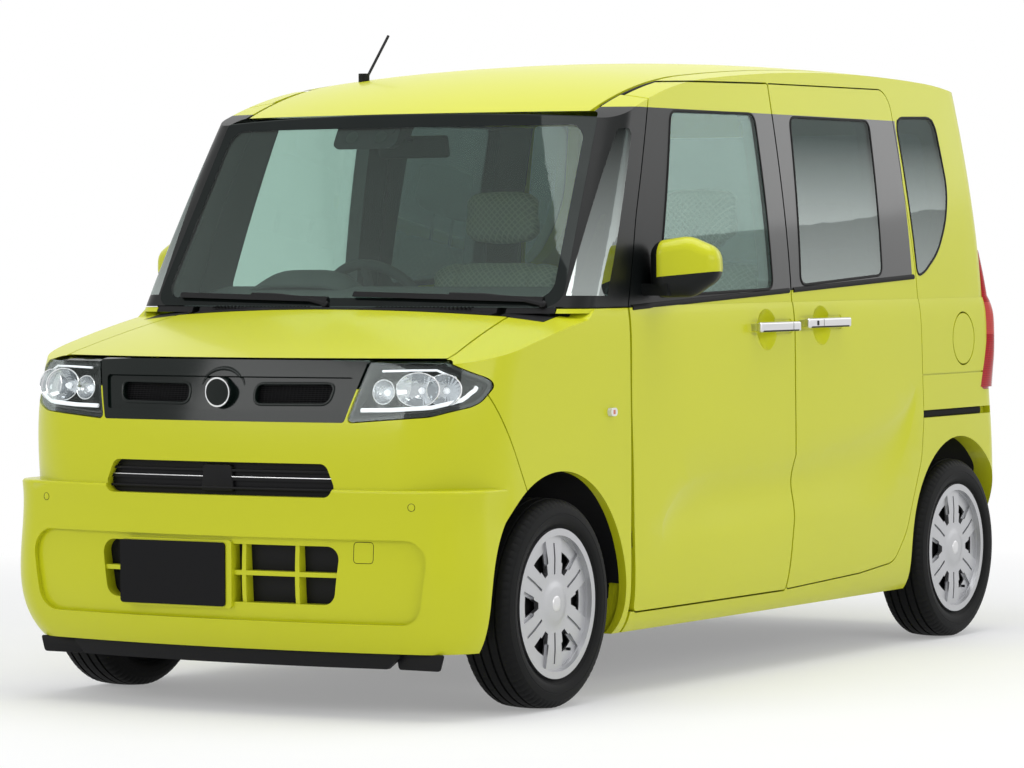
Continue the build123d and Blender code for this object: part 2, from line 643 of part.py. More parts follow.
# Sliding rear doors and their glass
rear_zone = side_prism(rear_door_outline, rear_door_radii, roof_split + 12.0, 850)
rear_hole = side_prism(rear_window, 28, 500, 850)
rear_door = largest(((shell & rear_zone) - rear_hole) - wall_core - scallop)
for hollow in handle_cup(*rear_handle_zone):
    rear_door = rear_door - hollow
for x in (middle_x - 150, rear_door_x + 160):
    roller = block(x - 30, x + 30, 600, half_width - 40, floor_top - 26, floor_top - 6) - sill_core
    rear_door = largest(rear_door + (roller & outer))
save("rear_door_left", rear_door)
save("rear_door_right", across(rear_door))
rear_glass = side_glass(rear_window, 28, -fit)
quarter_glass = side_glass(quarter_window, quarter_radii, -fit)
vent_glass = side_glass(vent_window, 14, -fit, 655.0)
save("side_glazing", rear_glass, quarter_glass, vent_glass, across(rear_glass), across(quarter_glass),
     across(vent_glass))

# Body sides: hinge pillar, screen pillar, cant rail, sill and quarter panel
fuel_x = rear_axle_x - 37.5
fuel_z = 920.0
fuel_radius = 78.0
fuel_axis_ahead = 50.0
fuel_axis_depth = 4.5
fuel_pin_radius = 2.0
side_zone = block(tail_x - 10, firewall_x + 14, roof_split, 900, 100, 1800)
body_side = (shell & side_zone) - sill_core
body_side = body_side - (block(front_door_x - 5, far, 500, 900, 0, 1043) - pillar_core)
for cut in (door_cut, rear_door_cut, screen_cut, tailgate_cut, rear_seam_cut, tail_lamp_cut,
            side_prism(quarter_window, quarter_radii, 600, 850), side_prism(vent_window, 14, 655, 850)):
    body_side = body_side - cut
body_side = body_side - block(front_door_x - 60, front_door_x + hinge_gap, 500, 900, 226, 1043)
body_side = body_side - rod((front_axle_x, 380, axle_height), (front_axle_x, 800, axle_height),
                            arch_radius + liner_thickness + fit)
rail = [(rear_door_x - 8, 684), (rear_axle_x - 248, 684), (rear_axle_x - 248, 707), (rear_door_x - 8, 707)]
body_side = body_side - (side_prism(rail, 4, 600, 850) - lower_body(rail_depth))
quarter_seam = block(rear_axle_x - 214, rear_door_x, 600, 850, 813, 817) - lower_body(seam_depth)
body_side = largest(body_side - quarter_seam)
for z in hinge_heights:
    arm = block(axis_x - 7, axis_x + 7, axis_y - 74, axis_y, z - 18, z + 18)
    arm = arm + rod((axis_x, axis_y, z - 18), (axis_x, axis_y, z + 18), 7)
    arm = arm + block(axis_x - 7, front_door_x + hinge_reach, axis_y - 74, axis_y - 56, z - 18, z + 18)
    arm = arm + block(front_door_x + 18, front_door_x + hinge_reach, axis_y - 74, axis_y - 25,
                      z - 18, z + 18)
    arm = arm + rod((axis_x, axis_y, z - 34), (axis_x, axis_y, z + 34), pin_radius)
    body_side = body_side + arm
body_side = largest(body_side)
save("body_side_right", across(body_side))
pocket = rod((fuel_x, half_width - 56, fuel_z), (fuel_x, half_width + 50, fuel_z), fuel_radius + shut_gap)
body_side = largest(body_side - pocket)
fuel_axis_x = fuel_x + fuel_axis_ahead


def side_point(z):
    reach = Edge.make_line((fuel_axis_x, 600, z), (fuel_axis_x, 900, z)) & outer_lower
    return max(reach.vertices(), key=lambda vertex: vertex.Y).Y - fuel_axis_depth


fuel_low = Vector(fuel_axis_x, side_point(fuel_z - fuel_radius), fuel_z - fuel_radius)
fuel_high = Vector(fuel_axis_x, side_point(fuel_z + fuel_radius), fuel_z + fuel_radius)
fuel_pin = rod(tuple(fuel_low), tuple(fuel_high), fuel_pin_radius)
body_side = largest(body_side + fuel_pin)
save("body_side_left", body_side)
lid = (outer_lower - lower_body(10.0)) & rod((fuel_x, 600, fuel_z), (fuel_x, 850, fuel_z), fuel_radius)
lid = largest(lid - rod(tuple(fuel_low), tuple(fuel_high), fuel_pin_radius + fit))
save("fuel_lid", lid)

# Tail lamps and rear bumper
lamp_back = lower_body(30.0)
tail_zone = side_prism(tail_lamp_outline, 20, 590, 850)
tail_lamp = (outer - lamp_back - upper_body(30.0)) & tail_zone
tail_lamp = largest(tail_lamp - tailgate_cut)
save("tail_lamps", tail_lamp, across(tail_lamp))
rear_bumper = largest((shell & rear_seam_cut) - tailgate_cut)
save("rear_bumper", rear_bumper)

# Floor with firewall
floor_zone = block(tail_x + 120, firewall_x + 15, -far, far, 0, 878)
floor = (shell & floor_zone & floor_core) - rear_seam_cut - tailgate_cut
liner_radius = arch_radius + liner_thickness + fit
liner_room = rod((front_axle_x, 392 - fit, axle_height), (front_axle_x, 800, axle_height), liner_radius)
floor = largest(floor - liner_room - across(liner_room))
save("floor_pan", floor)

# Wheels: rim with six double spokes, and tyre
tyre_gap = rim_radius + fit
tyre_points = [
    (-60, tyre_gap), (-60, tyre_gap + 11), (-tyre_width / 2, tyre_gap + 25),
    (-tyre_width / 2, tyre_radius - 22), (-58, tyre_radius), (58, tyre_radius),
    (tyre_width / 2, tyre_radius - 22), (tyre_width / 2, tyre_gap + 25), (60, tyre_gap + 11), (60, tyre_gap),
]
tyre_radii = [2, 6, 14, 24, 20, 20, 24, 14, 6, 2]


def turned(points, radius):
    face = outline([(0, a, r) for a, r in points], radius)
    return revolve(face, Axis.Y, 360).solid()


tyre = turned(tyre_points, tyre_radii)
wheel_profile = [
    (-70, rim_radius - 10), (-70, rim_radius + rim_lip), (-60 - fit, rim_radius + rim_lip),
    (-60 - fit, rim_radius), (60 + fit, rim_radius), (60 + fit, rim_radius + rim_lip),
    (70, rim_radius + rim_lip), (70, rim_radius - 10),
    (57, rim_radius - 12), (61, 120), (60, 62), (66, 40), (66, 0), (48, 0), (48, hub_bore + fit),
    (10, hub_bore + fit), (10, 58), (46, 58), (48, 120), (44, rim_radius - 12), (44, rim_radius - 10),
]
wheel_face = Face(Wire(Polyline(*[(0, a, r) for a, r in wheel_profile], close=True).edges()))
wheel = revolve(wheel_face, Axis.Y, 360).solid()


def window(inner, outer_radius, inner_half, outer_half, a0):
    reach = math.sqrt(outer_radius**2 - outer_half**2)
    corners = [Vector(inner, a0, -inner_half), Vector(reach, a0, -outer_half), Vector(reach, a0, outer_half),
               Vector(inner, a0, inner_half)]
    edges = [
        Edge.make_line(corners[0], corners[1]),
        Edge.make_three_point_arc(corners[1], Vector(outer_radius, a0, 0), corners[2]),
        Edge.make_line(corners[2], corners[3]), Edge.make_line(corners[3], corners[0]),
    ]
    return Solid.extrude(Face(Wire(edges)), Vector(0, 60, 0))


for turn in range(spokes):
    angle = 360 / spokes * turn
    wheel = wheel - window(84, rim_radius - 48, 8, 28, 30).rotate(Axis.Y, angle)
    wheel = wheel - window(108, rim_radius - 15, 24, 48, 52).rotate(Axis.Y, angle)
    slit = block(76, rim_radius - 30, 54, 90, -3.5, 3.5)
    wheel = wheel - slit.rotate(Axis.Y, angle + 180 / spokes)
wheel = largest(wheel)
stations = (
    ("front", front_axle_x, front_track / 2),
    ("rear", rear_axle_x, rear_track / 2),
)
for name, x, y in stations:
    place = Location((x, y, axle_height))
    save(f"tyre_{name}_left", place * tyre)
    save(f"tyre_{name}_right", across(place * tyre))
    save(f"wheel_{name}_left", place * wheel)
    save(f"wheel_{name}_right", across(place * wheel))

# Steered knuckles with struts
arm_top = 158.0
tower_top = 884.0
front_wheel_y = front_track / 2
knuckle = rod((front_axle_x, kingpin_offset, arm_top + fit), (front_axle_x, kingpin_offset, 592), 22)


def stub(x, y0, y1, radius):
    return rod((x, y0, axle_height), (x, y1, axle_height), radius)


carrier = stub(front_axle_x, kingpin_offset - 24, front_wheel_y - 12, 36)
spindle = stub(front_axle_x, front_wheel_y - 20, front_wheel_y + 40, hub_bore)
seat = rod((front_axle_x, kingpin_offset, 588), (front_axle_x, kingpin_offset, 596), 56)
strut = rod((front_axle_x, kingpin_offset, 590), (front_axle_x, kingpin_offset, tower_top + 14), 9)
coil_points = [(0, 0, 594)]
for turn in range(6):
    coil_points += [(34, 0, 594 + 42 * turn), (50, 0, 615 + 42 * turn)]
coil_points += [(34, 0, 846), (0, 0, 846)]
coil = Face(Wire(Polyline(*coil_points, close=True).edges()))
coil = revolve(coil, Axis.Z, 360).solid().moved(Location((front_axle_x, kingpin_offset, 0)))
knuckle = knuckle + carrier + spindle + seat + strut + coil
ball_hole = rod((front_axle_x, kingpin_offset, 150), (front_axle_x, kingpin_offset, 192), 8 + fit)
knuckle = largest(knuckle - ball_hole)
save("knuckle_left", knuckle)
save("knuckle_right", across(knuckle))

# Cross member, lower arms and front rails
member = block(front_axle_x - 60, front_axle_x + 60, -372, 372, 150, 200)
for side in (-1, 1):
    y0, y1 = sorted((side * 300, side * (kingpin_offset + 22)))
    member = member + block(front_axle_x - 22, front_axle_x + 22, y0, y1, 132, arm_top)
    ball = (front_axle_x, side * kingpin_offset)
    member = member + rod((*ball, 150), (*ball, 190), 8)
    y0, y1 = sorted((side * 322, side * 372))
    member = member + block(firewall_x + 15, nose_x - 120, y0, y1, 340, 430)
    member = member + block(front_axle_x - 40, front_axle_x + 40, y0, y1, 190, 350)
member = member + block(nose_x - 120, nose_x - 85, -372, 372, 340, 430)
save("front_suspension", member)
engine = block(front_axle_x - 70, front_axle_x + 290, -300, 300, 200 + fit, 790)
engine = fillet(engine.edges(), 30)
save("engine_block", engine)

# Wheel liners with strut towers
liners = []
liner_outer = arch_radius + liner_thickness
ring = stub(front_axle_x, 400, 800, liner_outer) - stub(front_axle_x, 400, 800, arch_radius)
web = stub(front_axle_x, 392, 401, liner_outer)
upper_half = block(-far, far, 0, 800, axle_height + 30, far)
liner = ((ring & pillar_core) + web) & upper_half
shaft = (front_axle_x, kingpin_offset)
liner = liner - rod((*shaft, 500), (*shaft, tower_top), 74)
liner = liner + tube((*shaft, 590), (*shaft, tower_top), 80, 74)
liner = liner + tube((*shaft, tower_top - 6), (*shaft, tower_top), 80, 9 + fit)
liners.append(largest(liner))
ring = stub(rear_axle_x, 470, 800, liner_outer) - stub(rear_axle_x, 470, 800, arch_radius)
web = stub(rear_axle_x, 462, 470, liner_outer)
rear_liner = (ring & lower_body(door_thickness + fit)) + web
liners.append(largest(rear_liner & block(-far, far, 0, 800, rear_floor_top + fit, far)))
save("wheel_liners", liners, [across(liner) for liner in liners])

# Rear axle beam, fuel tank and exhaust
beam = block(rear_axle_x + 90, rear_axle_x + 150, -500, 500, 240, 320)
for side in (-1, 1):
    y0, y1 = sorted((side * 440, side * 500))
    beam = beam + block(rear_axle_x - 40, rear_axle_x + 400, y0, y1, 250, 300)
    beam = beam + stub(rear_axle_x, side * 460, side * (rear_track / 2 - 12), 36)
    beam = beam + stub(rear_axle_x, side * 600, side * (rear_track / 2 + 40), hub_bore)
    beam = beam + block(rear_axle_x + 350, rear_axle_x + 400, y0, y1, 250, rear_floor_top - floor_thickness)
save("rear_axle", beam)
tank = block(rear_axle_x + 170, rear_axle_x + 340, -420, 420, 200, rear_floor_top - floor_thickness)
save("fuel_tank", fillet(tank.edges().filter_by(Axis.Z), 30))
muffler_z = rear_floor_top - floor_thickness - 92.0 - fit
muffler = rod((tail_x + 190, -330, muffler_z), (tail_x + 190, 330, muffler_z), 92)
save("exhaust", muffler)

# Dashboard with the steering column
dash_points = [
    (firewall_x - fit, 690), (firewall_x - fit, 1012), (firewall_x - 90, 1066), (firewall_x - 290, 1098),
    (firewall_x - 400, 1060), (firewall_x - 430, 900), (firewall_x - 350, 690),
]
dash = side_prism(dash_points, [10, 30, 60, 70, 60, 60, 40], -600, 600)
wheel_centre = Vector(front_axle_x - 796.5, -335, 1001)
column = Vector(-math.cos(math.radians(25)), 0, math.sin(math.radians(25)))
shaft_radius = 12.0
hub_back = wheel_centre - column * 34.0
column_start = wheel_centre - column * 300.0
shroud = rod(tuple(column_start), tuple(hub_back - column * 6.0), 34)
shaft_hole = rod(tuple(wheel_centre - column * 180.0), tuple(hub_back), shaft_radius + fit)
dash = largest(dash + shroud - shaft_hole)
save("dashboard", dash)

rim_start = Plane(wheel_centre + Vector(0, 172, 0), z_dir=column.cross(Vector(0, 1, 0)))
rim_ring = revolve(Face(Wire.make_circle(15.0, rim_start)), Axis(wheel_centre, column), 360).solid()
steering = rim_ring + rod(tuple(hub_back), tuple(wheel_centre + column * 4.0), 62)
for angle in (0, 180, 270):
    flat = Plane(wheel_centre - column * 14.0, x_dir=Vector(0, 1, 0), z_dir=column)
    spoke = Vector(166, 0, 12).rotate(Axis.Z, angle)
    reach = flat.from_local_coords(spoke)
    steering = steering + rod(tuple(flat.origin), tuple(reach), 13)
steering = steering + rod(tuple(wheel_centre - column * 176.0), tuple(hub_back + column * 2.0), shaft_radius)
save("steering_wheel", largest(steering))

# Seats
seat_base = block(front_axle_x - 1320, front_axle_x - 940, 150, 520, floor_top, 486)
seat_cushion = side_prism(
    [(front_axle_x - 880, 470), (front_axle_x - 845, 590), (front_axle_x - 920, 648),
     (front_axle_x - 1330, 612), (front_axle_x - 1400, 480)], 36, 95, 575)
seat_back = side_prism(
    [(front_axle_x - 1290, 560), (front_axle_x - 1400, 540), (front_axle_x - 1560, 1150),
     (front_axle_x - 1500, 1195), (front_axle_x - 1430, 1180)], [20, 20, 34, 30, 40], 105, 565)
headrest = fillet(Box(96, 262, 176).edges(), 34).solid()
headrest = headrest.moved(Location((front_axle_x - 1492, 335, 1296), (0, -8, 0)))
posts = [rod((front_axle_x - 1490, y, 1150), (front_axle_x - 1488, y, 1290), 7) for y in (275, 395)]
front_seat = largest(seat_base + seat_cushion + seat_back + headrest + posts[0] + posts[1])
save("front_seats", front_seat, across(front_seat))
bench_base = block(rear_axle_x + 120, step_x - 10, -420, 420, rear_floor_top, 520)
bench = side_prism(
    [(rear_axle_x + 540, 505), (rear_axle_x + 560, 610), (rear_axle_x + 500, 650), (rear_axle_x + 120, 622),
     (rear_axle_x + 70, 510)], 36, -450, 450)
bench_back = side_prism(
    [(rear_axle_x + 150, 570), (rear_axle_x + 50, 545), (rear_axle_x - 95, 1120), (rear_axle_x - 40, 1160),
     (rear_axle_x + 20, 1150)], [20, 20, 34, 30, 36], -450, 450)
rear_seat = bench_base + bench + bench_back
for y in (-225, 225):
    rest = fillet(Box(88, 250, 150).edges(), 30).solid()
    rest = rest.moved(Location((rear_axle_x - 42, y, 1268), (0, -8, 0)))
    post = rod((rear_axle_x - 40, y, 1130), (rear_axle_x - 40, y, 1260), 9)
    rear_seat = rear_seat + rest + post
save("rear_seat", largest(rear_seat))

# Wipers, antenna and cabin mirror
blade_shell = upper_body(-11.0) - upper_body(-0.5)
blade_points = (
    [(600, 1058), (40, 1072), (40, 1086), (600, 1072)],
    [(-40, 1058), (-560, 1068), (-560, 1082), (-40, 1072)],
)
blades = []
for points in blade_points:
    blades.append(largest(blade_shell & front_prism(points, 3, front_axle_x - 300, nose_x)))
save("wipers", blades)
antenna_foot = Vector(front_axle_x - 857.5, -420, 1680)
antenna_tip = Vector(front_axle_x - 990, -420, 1822)
mast = rod(tuple(antenna_foot), tuple(antenna_tip), 4)
mast = mast + rod(tuple(antenna_foot), (antenna_foot.X, -420, 1708), 16)
save("antenna", largest(mast - outer))
mirror_glass = fillet(Box(22, 226, 62).edges(), 9).solid()
mirror_glass = mirror_glass.moved(Location((front_axle_x - 470, -10, 1482), (0, 12, 0)))
stem = rod((front_axle_x - 470, -10, 1500), (front_axle_x - 340, -10, 1530), 9)
stem = stem & upper_body(glass_thickness + fit)
save("cabin_mirror", largest(mirror_glass + stem))
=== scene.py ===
import bpy
import bmesh
import json
import math
from mathutils import Matrix, Vector
from mathutils.bvhtree import BVHTree


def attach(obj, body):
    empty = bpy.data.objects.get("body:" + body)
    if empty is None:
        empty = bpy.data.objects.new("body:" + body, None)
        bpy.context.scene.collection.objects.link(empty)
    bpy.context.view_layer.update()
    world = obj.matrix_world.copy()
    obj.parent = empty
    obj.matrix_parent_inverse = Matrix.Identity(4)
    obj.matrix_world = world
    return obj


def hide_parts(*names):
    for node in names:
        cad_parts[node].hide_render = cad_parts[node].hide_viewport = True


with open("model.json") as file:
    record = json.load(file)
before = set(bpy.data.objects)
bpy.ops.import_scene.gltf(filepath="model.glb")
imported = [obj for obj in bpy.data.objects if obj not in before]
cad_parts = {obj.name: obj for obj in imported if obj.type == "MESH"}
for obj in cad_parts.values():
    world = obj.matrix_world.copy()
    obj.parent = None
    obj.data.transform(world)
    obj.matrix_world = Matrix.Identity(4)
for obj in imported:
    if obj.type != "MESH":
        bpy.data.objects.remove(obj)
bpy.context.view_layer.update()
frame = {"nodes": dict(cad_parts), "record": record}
nodes = frame["nodes"]
bodyOf = {node: body for body, names in frame["record"]["behaviour"]["bodies"].items() for node in names}
slotOf = {part["node"]: part["material_slot"] for part in frame["record"]["subparts"]}
print("frame loaded:", len(nodes), "nodes")


class Socket:
    # wraps one output socket, so that shader maths reads as plain sums
    def __init__(self, graph, out):
        self.graph = graph
        self.out = out

    def math(self, operation, other=None, flip=False):
        values = [other, self] if flip else [self, other]
        inputs = {place: value for place, value in enumerate(values) if value is not None}
        return self.graph.add("ShaderNodeMath", {"operation": operation}, inputs)

    def __add__(self, other):
        return self.math("ADD", other)

    __radd__ = __add__

    def __mul__(self, other):
        return self.math("MULTIPLY", other)

    __rmul__ = __mul__

    def __sub__(self, other):
        return self.math("SUBTRACT", other)

    def __rsub__(self, other):
        return self.math("SUBTRACT", other, flip=True)

    def __truediv__(self, other):
        return self.math("DIVIDE", other)

    def __gt__(self, other):
        return self.math("GREATER_THAN", other)

    def __lt__(self, other):
        return self.math("LESS_THAN", other)

    def absolute(self):
        return self.math("ABSOLUTE")

    def sine(self):
        return self.math("SINE")

    def root(self):
        return self.math("SQRT")

    def lowest(self, other):
        return self.math("MINIMUM", other)

    def highest(self, other):
        return self.math("MAXIMUM", other)


class Graph:
    # a node tree, shader or geometry, filled by one method
    def __init__(self, tree):
        self.tree = tree
        self.nodes = tree.nodes
        self.links = tree.links

    def add(self, kind, settings=None, inputs=None, out=0):
        node = self.nodes.new(kind)
        for key, value in (settings or {}).items():
            setattr(node, key, value)
        for key, value in (inputs or {}).items():
            self.feed(node.inputs[key], value)
        return Socket(self, node.outputs[out])

    def feed(self, socket, value):
        if isinstance(value, Socket):
            self.links.new(value.out, socket)
        else:
            socket.default_value = value

    def axes(self, where):
        node = self.nodes.new("ShaderNodeSeparateXYZ")
        self.feed(node.inputs[0], where)
        return [Socket(self, node.outputs[i]) for i in range(3)]


class Finish(Graph):
    # one material and the nodes that make it
    def __init__(self, name):
        self.material = bpy.data.materials.new(name)
        self.material.use_nodes = True
        super().__init__(self.material.node_tree)
        self.shader = self.nodes["Principled BSDF"]
        self.output = self.nodes["Material Output"]

    def set(self, **values):
        for key, value in values.items():
            self.feed(self.shader.inputs[key.replace("_", " ")], value)
        return self

    def place(self):
        return self.add("ShaderNodeTexCoord", out="Object")

    def here(self):
        return self.axes(self.place())

    def noise(self, scale, detail=3.0):
        return self.add("ShaderNodeTexNoise", {}, {"Vector": self.place(), "Scale": scale, "Detail": detail})

    def mix(self, factor, low, high):
        return self.add("ShaderNodeMix", {"data_type": "RGBA"}, {"Factor": factor, "A": low, "B": high}, out="Result")

    def bump(self, height, strength, distance):
        inputs = {"Strength": strength, "Distance": distance, "Height": height}
        return self.set(Normal=self.add("ShaderNodeBump", {}, inputs))


def tint(red, green, blue):
    return (red, green, blue, 1.0)


def darker(colour, share):
    return tuple(part * share for part in colour[:3]) + (1.0,)


limePaint = dict(bright=tint(0.60, 0.615, 0.016), deep=tint(0.54, 0.56, 0.012), rough=0.30, coat=0.20, coatRough=0.10,
                 shine=0.20)
pillarBlack = dict(beltAtFront=1.040, beltFront=0.784, beltRise=0.0404, top=1.583, rearEdge=-0.993, inside=0.52,
                   shade=tint(0.004, 0.005, 0.005), glossFrom=0.14, gloss=0.75)


def beltHeight(x):
    return pillarBlack["beltAtFront"] + (pillarBlack["beltFront"] - x) * pillarBlack["beltRise"]


def makePaint(name, pillars=False, cap=None):
    finish = Finish(name)
    flake = finish.noise(900.0, 2.0)
    slow = finish.noise(1.6, 2.0)
    base = finish.mix(slow * 0.5 + flake * 0.3, limePaint["deep"], limePaint["bright"])
    rough = limePaint["rough"] + flake * 0.05
    coat = limePaint["coat"]
    if pillars:
        x, y, z = finish.here()
        mask = (z > beltHeight(x)) * (z < pillarBlack["top"]) * (x > pillarBlack["rearEdge"])
        mask = mask * (y.absolute() > pillarBlack["inside"])
        base = finish.mix(mask, base, pillarBlack["shade"])
        coat = (1.0 - mask) * coat + mask * (x < pillarBlack["glossFrom"]) * pillarBlack["gloss"]
    if cap:
        x, y, z = finish.here()
        split = cap["low"] + (y.absolute() - cap["inner"]) * cap["rise"]
        mask = (z < split).highest(y.absolute() < cap["inner"])
        base = finish.mix(mask, base, pillarBlack["shade"])
        rough = rough + mask * 0.2
        coat = (1.0 - mask) * coat
    finish.set(Base_Color=base, Roughness=rough, Coat_Weight=coat, Specular_IOR_Level=limePaint["shine"],
               Coat_Roughness=limePaint["coatRough"])
    return finish.bump(finish.noise(260.0, 1.0), 0.015, 0.0004).material


def makePlastic(name, colour, rough, grain, strength, shine=0.12):
    finish = Finish(name)
    speck = finish.noise(grain, 4.0)
    shade = finish.mix(speck, darker(colour, 0.75), colour)
    finish.set(Base_Color=shade, Roughness=rough + speck * 0.1, Specular_IOR_Level=shine)
    return finish.bump(speck, strength, 0.0006).material


def makeGlass(name, colour, see, border=None, shine=0.3, sky=None):
    finish = Finish(name)
    clear = finish.add("ShaderNodeBsdfTransparent", {}, {"Color": colour})
    gloss = finish.add("ShaderNodeBsdfGlossy", {}, {"Color": tint(0.92, 1.0, 0.97), "Roughness": 0.02})
    dark = finish.add("ShaderNodeBsdfDiffuse", {}, {"Color": tint(0.006, 0.008, 0.008)})
    smear = finish.noise(5.0, 3.0)
    rim = finish.add("ShaderNodeLayerWeight", {}, {"Blend": 0.16})
    body = finish.add("ShaderNodeMixShader", {}, {"Fac": 1.0 - see, 1: clear, 2: dark})
    printed = border(finish) if border else 0.0
    if border:
        body = finish.add("ShaderNodeMixShader", {}, {"Fac": printed, 1: body, 2: dark})
    amount = rim * shine + smear * 0.010 + 0.010
    # painted reflection: on top of the real glossy reflection, the glossy share is raised low on the glass and fades
    # upward by height alone, kept off the printed border
    if sky:
        x, y, z = finish.here()
        paintedReflection = ((sky["high"] - z) / (sky["high"] - sky["low"])).highest(0.0).lowest(1.0) * sky["share"]
        amount = amount + paintedReflection * (1.0 - printed)
    both = finish.add("ShaderNodeMixShader", {}, {"Fac": amount, 1: body, 2: gloss})
    finish.feed(finish.output.inputs["Surface"], both)
    finish.nodes.remove(finish.shader)
    return finish.material


screenBorder = dict(bottom=1.046, top=1.571, lowHalf=0.652, topHalf=0.598, side=0.030, sill=0.022, header=0.038,
                    cornerRadius=0.045)


def screenEdge(finish):
    # black printed border of the windshield, with round inner corners
    x, y, z = finish.here()
    b = screenBorder
    slope = (b["topHalf"] - b["lowHalf"]) / (b["top"] - b["bottom"])
    half = b["lowHalf"] + (z - b["bottom"]) * slope - b["side"]
    r = b["cornerRadius"]
    across = (y.absolute() - half + r).highest(0.0)
    low = b["bottom"] + b["sill"] + r
    high = b["top"] - b["header"] - r
    up = (z - high).highest(low - z).highest(0.0)
    return (across * across + up * up).root() > r


def makeMetal(name, colour, rough, grain):
    finish = Finish(name)
    speck = finish.noise(grain, 2.0)
    shade = finish.mix(speck, darker(colour, 0.85), colour)
    return finish.set(Base_Color=shade, Roughness=rough + speck * 0.08, Metallic=1.0).material


def makeFabric(name, light, dark, pitch):
    # fine diagonal lattice woven into the cloth
    finish = Finish(name)
    x, y, z = finish.here()
    rise = z - x * 0.4
    lattice = ((y + rise) * pitch).sine().absolute().lowest(((y - rise) * pitch).sine().absolute())
    weave = finish.noise(700.0, 2.0)
    tone = (1.0 - lattice * 1.8).highest(0.0) * 0.8 + weave * 0.2
    finish.set(Base_Color=finish.mix(tone, dark, light), Roughness=0.95, Sheen_Weight=0.2)
    return finish.bump(tone, 0.2, 0.0012).material


def makeGlow(name, colour, strength):
    finish = Finish(name)
    streak = finish.noise(60.0, 2.0)
    shade = finish.mix(streak, darker(colour, 0.93), colour)
    return finish.set(Base_Color=shade, Roughness=0.25, Emission_Color=shade, Emission_Strength=strength).material


sideLampForm = dict(x=0.896, z=0.766, core=0.006, ribs=1800.0)
redLensForm = dict(ribs=900.0, bandZ=0.98, bandHalf=0.05)


def makeSideLamp(name):
    finish = Finish(name)
    x, y, z = finish.here()
    s = sideLampForm
    core = ((x - s["x"]).absolute() < s["core"]) * ((z - s["z"]).absolute() < s["core"])
    ribs = (x * s["ribs"]).sine() * 0.5 + 0.5
    base = finish.mix(core, tint(0.72, 0.72, 0.70), tint(0.55, 0.16, 0.10))
    finish.set(Base_Color=base, Roughness=0.12 + ribs * 0.1)
    return finish.bump(ribs, 0.3, 0.0006).material


def makeRedLens(name):
    # red lens with fine upright prism ribs and a paler band in the middle
    finish = Finish(name)
    x, y, z = finish.here()
    ribs = (z * redLensForm["ribs"]).sine() * 0.5 + 0.5
    band = (z - redLensForm["bandZ"]).absolute() < redLensForm["bandHalf"]
    base = finish.mix(ribs * 0.5, tint(0.30, 0.003, 0.006), tint(0.52, 0.010, 0.014))
    base = finish.mix(band * 0.5, base, tint(0.62, 0.10, 0.08))
    finish.set(Base_Color=base, Roughness=0.08 + ribs * 0.04, Specular_IOR_Level=0.3)
    return finish.bump(ribs, 0.15, 0.0008).material


mirrorSplit = dict(low=1.122, inner=0.766, rise=0.10)
paint = makePaint("limePaint")
sidePaint = makePaint("limePaintPillars", pillars=True)
mirrorPaint = makePaint("mirrorCapPaint", cap=mirrorSplit)
glossBlack = makePlastic("glossBlack", tint(0.004, 0.008, 0.0065), 0.07, 300.0, 0.01, 0.22)
darkPlastic = makePlastic("grainBlack", tint(0.010, 0.010, 0.011), 0.42, 900.0, 0.15)
rubberTrim = makePlastic("rubberTrim", tint(0.007, 0.007, 0.007), 0.5, 700.0, 0.1)
underseal = makePlastic("underseal", tint(0.012, 0.012, 0.013), 0.75, 120.0, 0.5)
cabinPlastic = makePlastic("cabinGrain", tint(0.085, 0.088, 0.09), 0.6, 60.0, 0.03)
trimGrey = makePlastic("trimGrey", tint(0.40, 0.41, 0.41), 0.65, 60.0, 0.03)
headliner = makePlastic("headlinerCloth", tint(0.60, 0.61, 0.59), 0.95, 60.0, 0.03)
rubber = makePlastic("tyreRubber", tint(0.0065, 0.0068, 0.007), 0.55, 500.0, 0.25)
# brake drum: a real part whose near-black colour is painted shade behind the wheel cover
drumPaintedShade = makePlastic("drumPaintedShade", tint(0.006, 0.006, 0.007), 0.7, 200.0, 0.3)
# painted reflection on the windshield: a small glossy share added low on the glass, fading upward
screenPaintedReflection = dict(low=1.05, high=2.00, share=0.022)
screenGlass = makeGlass("screenGlass", tint(0.80, 0.90, 0.86), 0.97, screenEdge, 0.22, screenPaintedReflection)
doorGlass = makeGlass("doorGlass", tint(0.78, 0.87, 0.84), 0.94)
# painted reflection on the privacy glass: a large glossy share low on the glass, fading upward
glassPaintedReflection = dict(low=1.09, high=1.52, share=0.30)
privacyGlass = makeGlass("privacyGlass", tint(0.30, 0.345, 0.34), 0.88, None, 0.3, glassPaintedReflection)
lensGlass = makeGlass("lampLens", tint(0.97, 0.98, 0.98), 0.99, None, 0.25)
redLens = makeRedLens("redLens")
sideLampLens = makeSideLamp("sideLampLens")
chrome = makeMetal("brightPlate", tint(0.86, 0.87, 0.88), 0.06, 200.0)
satin = makeMetal("satinSilver", tint(0.70, 0.70, 0.71), 0.26, 900.0)
silver = makeMetal("wheelSilver", tint(0.52, 0.525, 0.54), 0.34, 1500.0)
reflector = makeMetal("lampReflector", tint(0.62, 0.64, 0.66), 0.08, 90.0)
mirrorFace = makeMetal("mirrorFace", tint(0.82, 0.85, 0.86), 0.02, 20.0)
seatCloth = makeFabric("seatCloth", tint(0.62, 0.61, 0.57), tint(0.36, 0.355, 0.335), 157.0)
whiteGuide = makeGlow("whiteGuide", tint(0.90, 0.92, 0.94), 0.55)
plateBlack = makePlastic("plateBlack", tint(0.006, 0.006, 0.007), 0.30, 400.0, 0.03)
plateWhite = makePlastic("plateBlank", tint(0.62, 0.63, 0.62), 0.4, 300.0, 0.05)
print("finishes made")

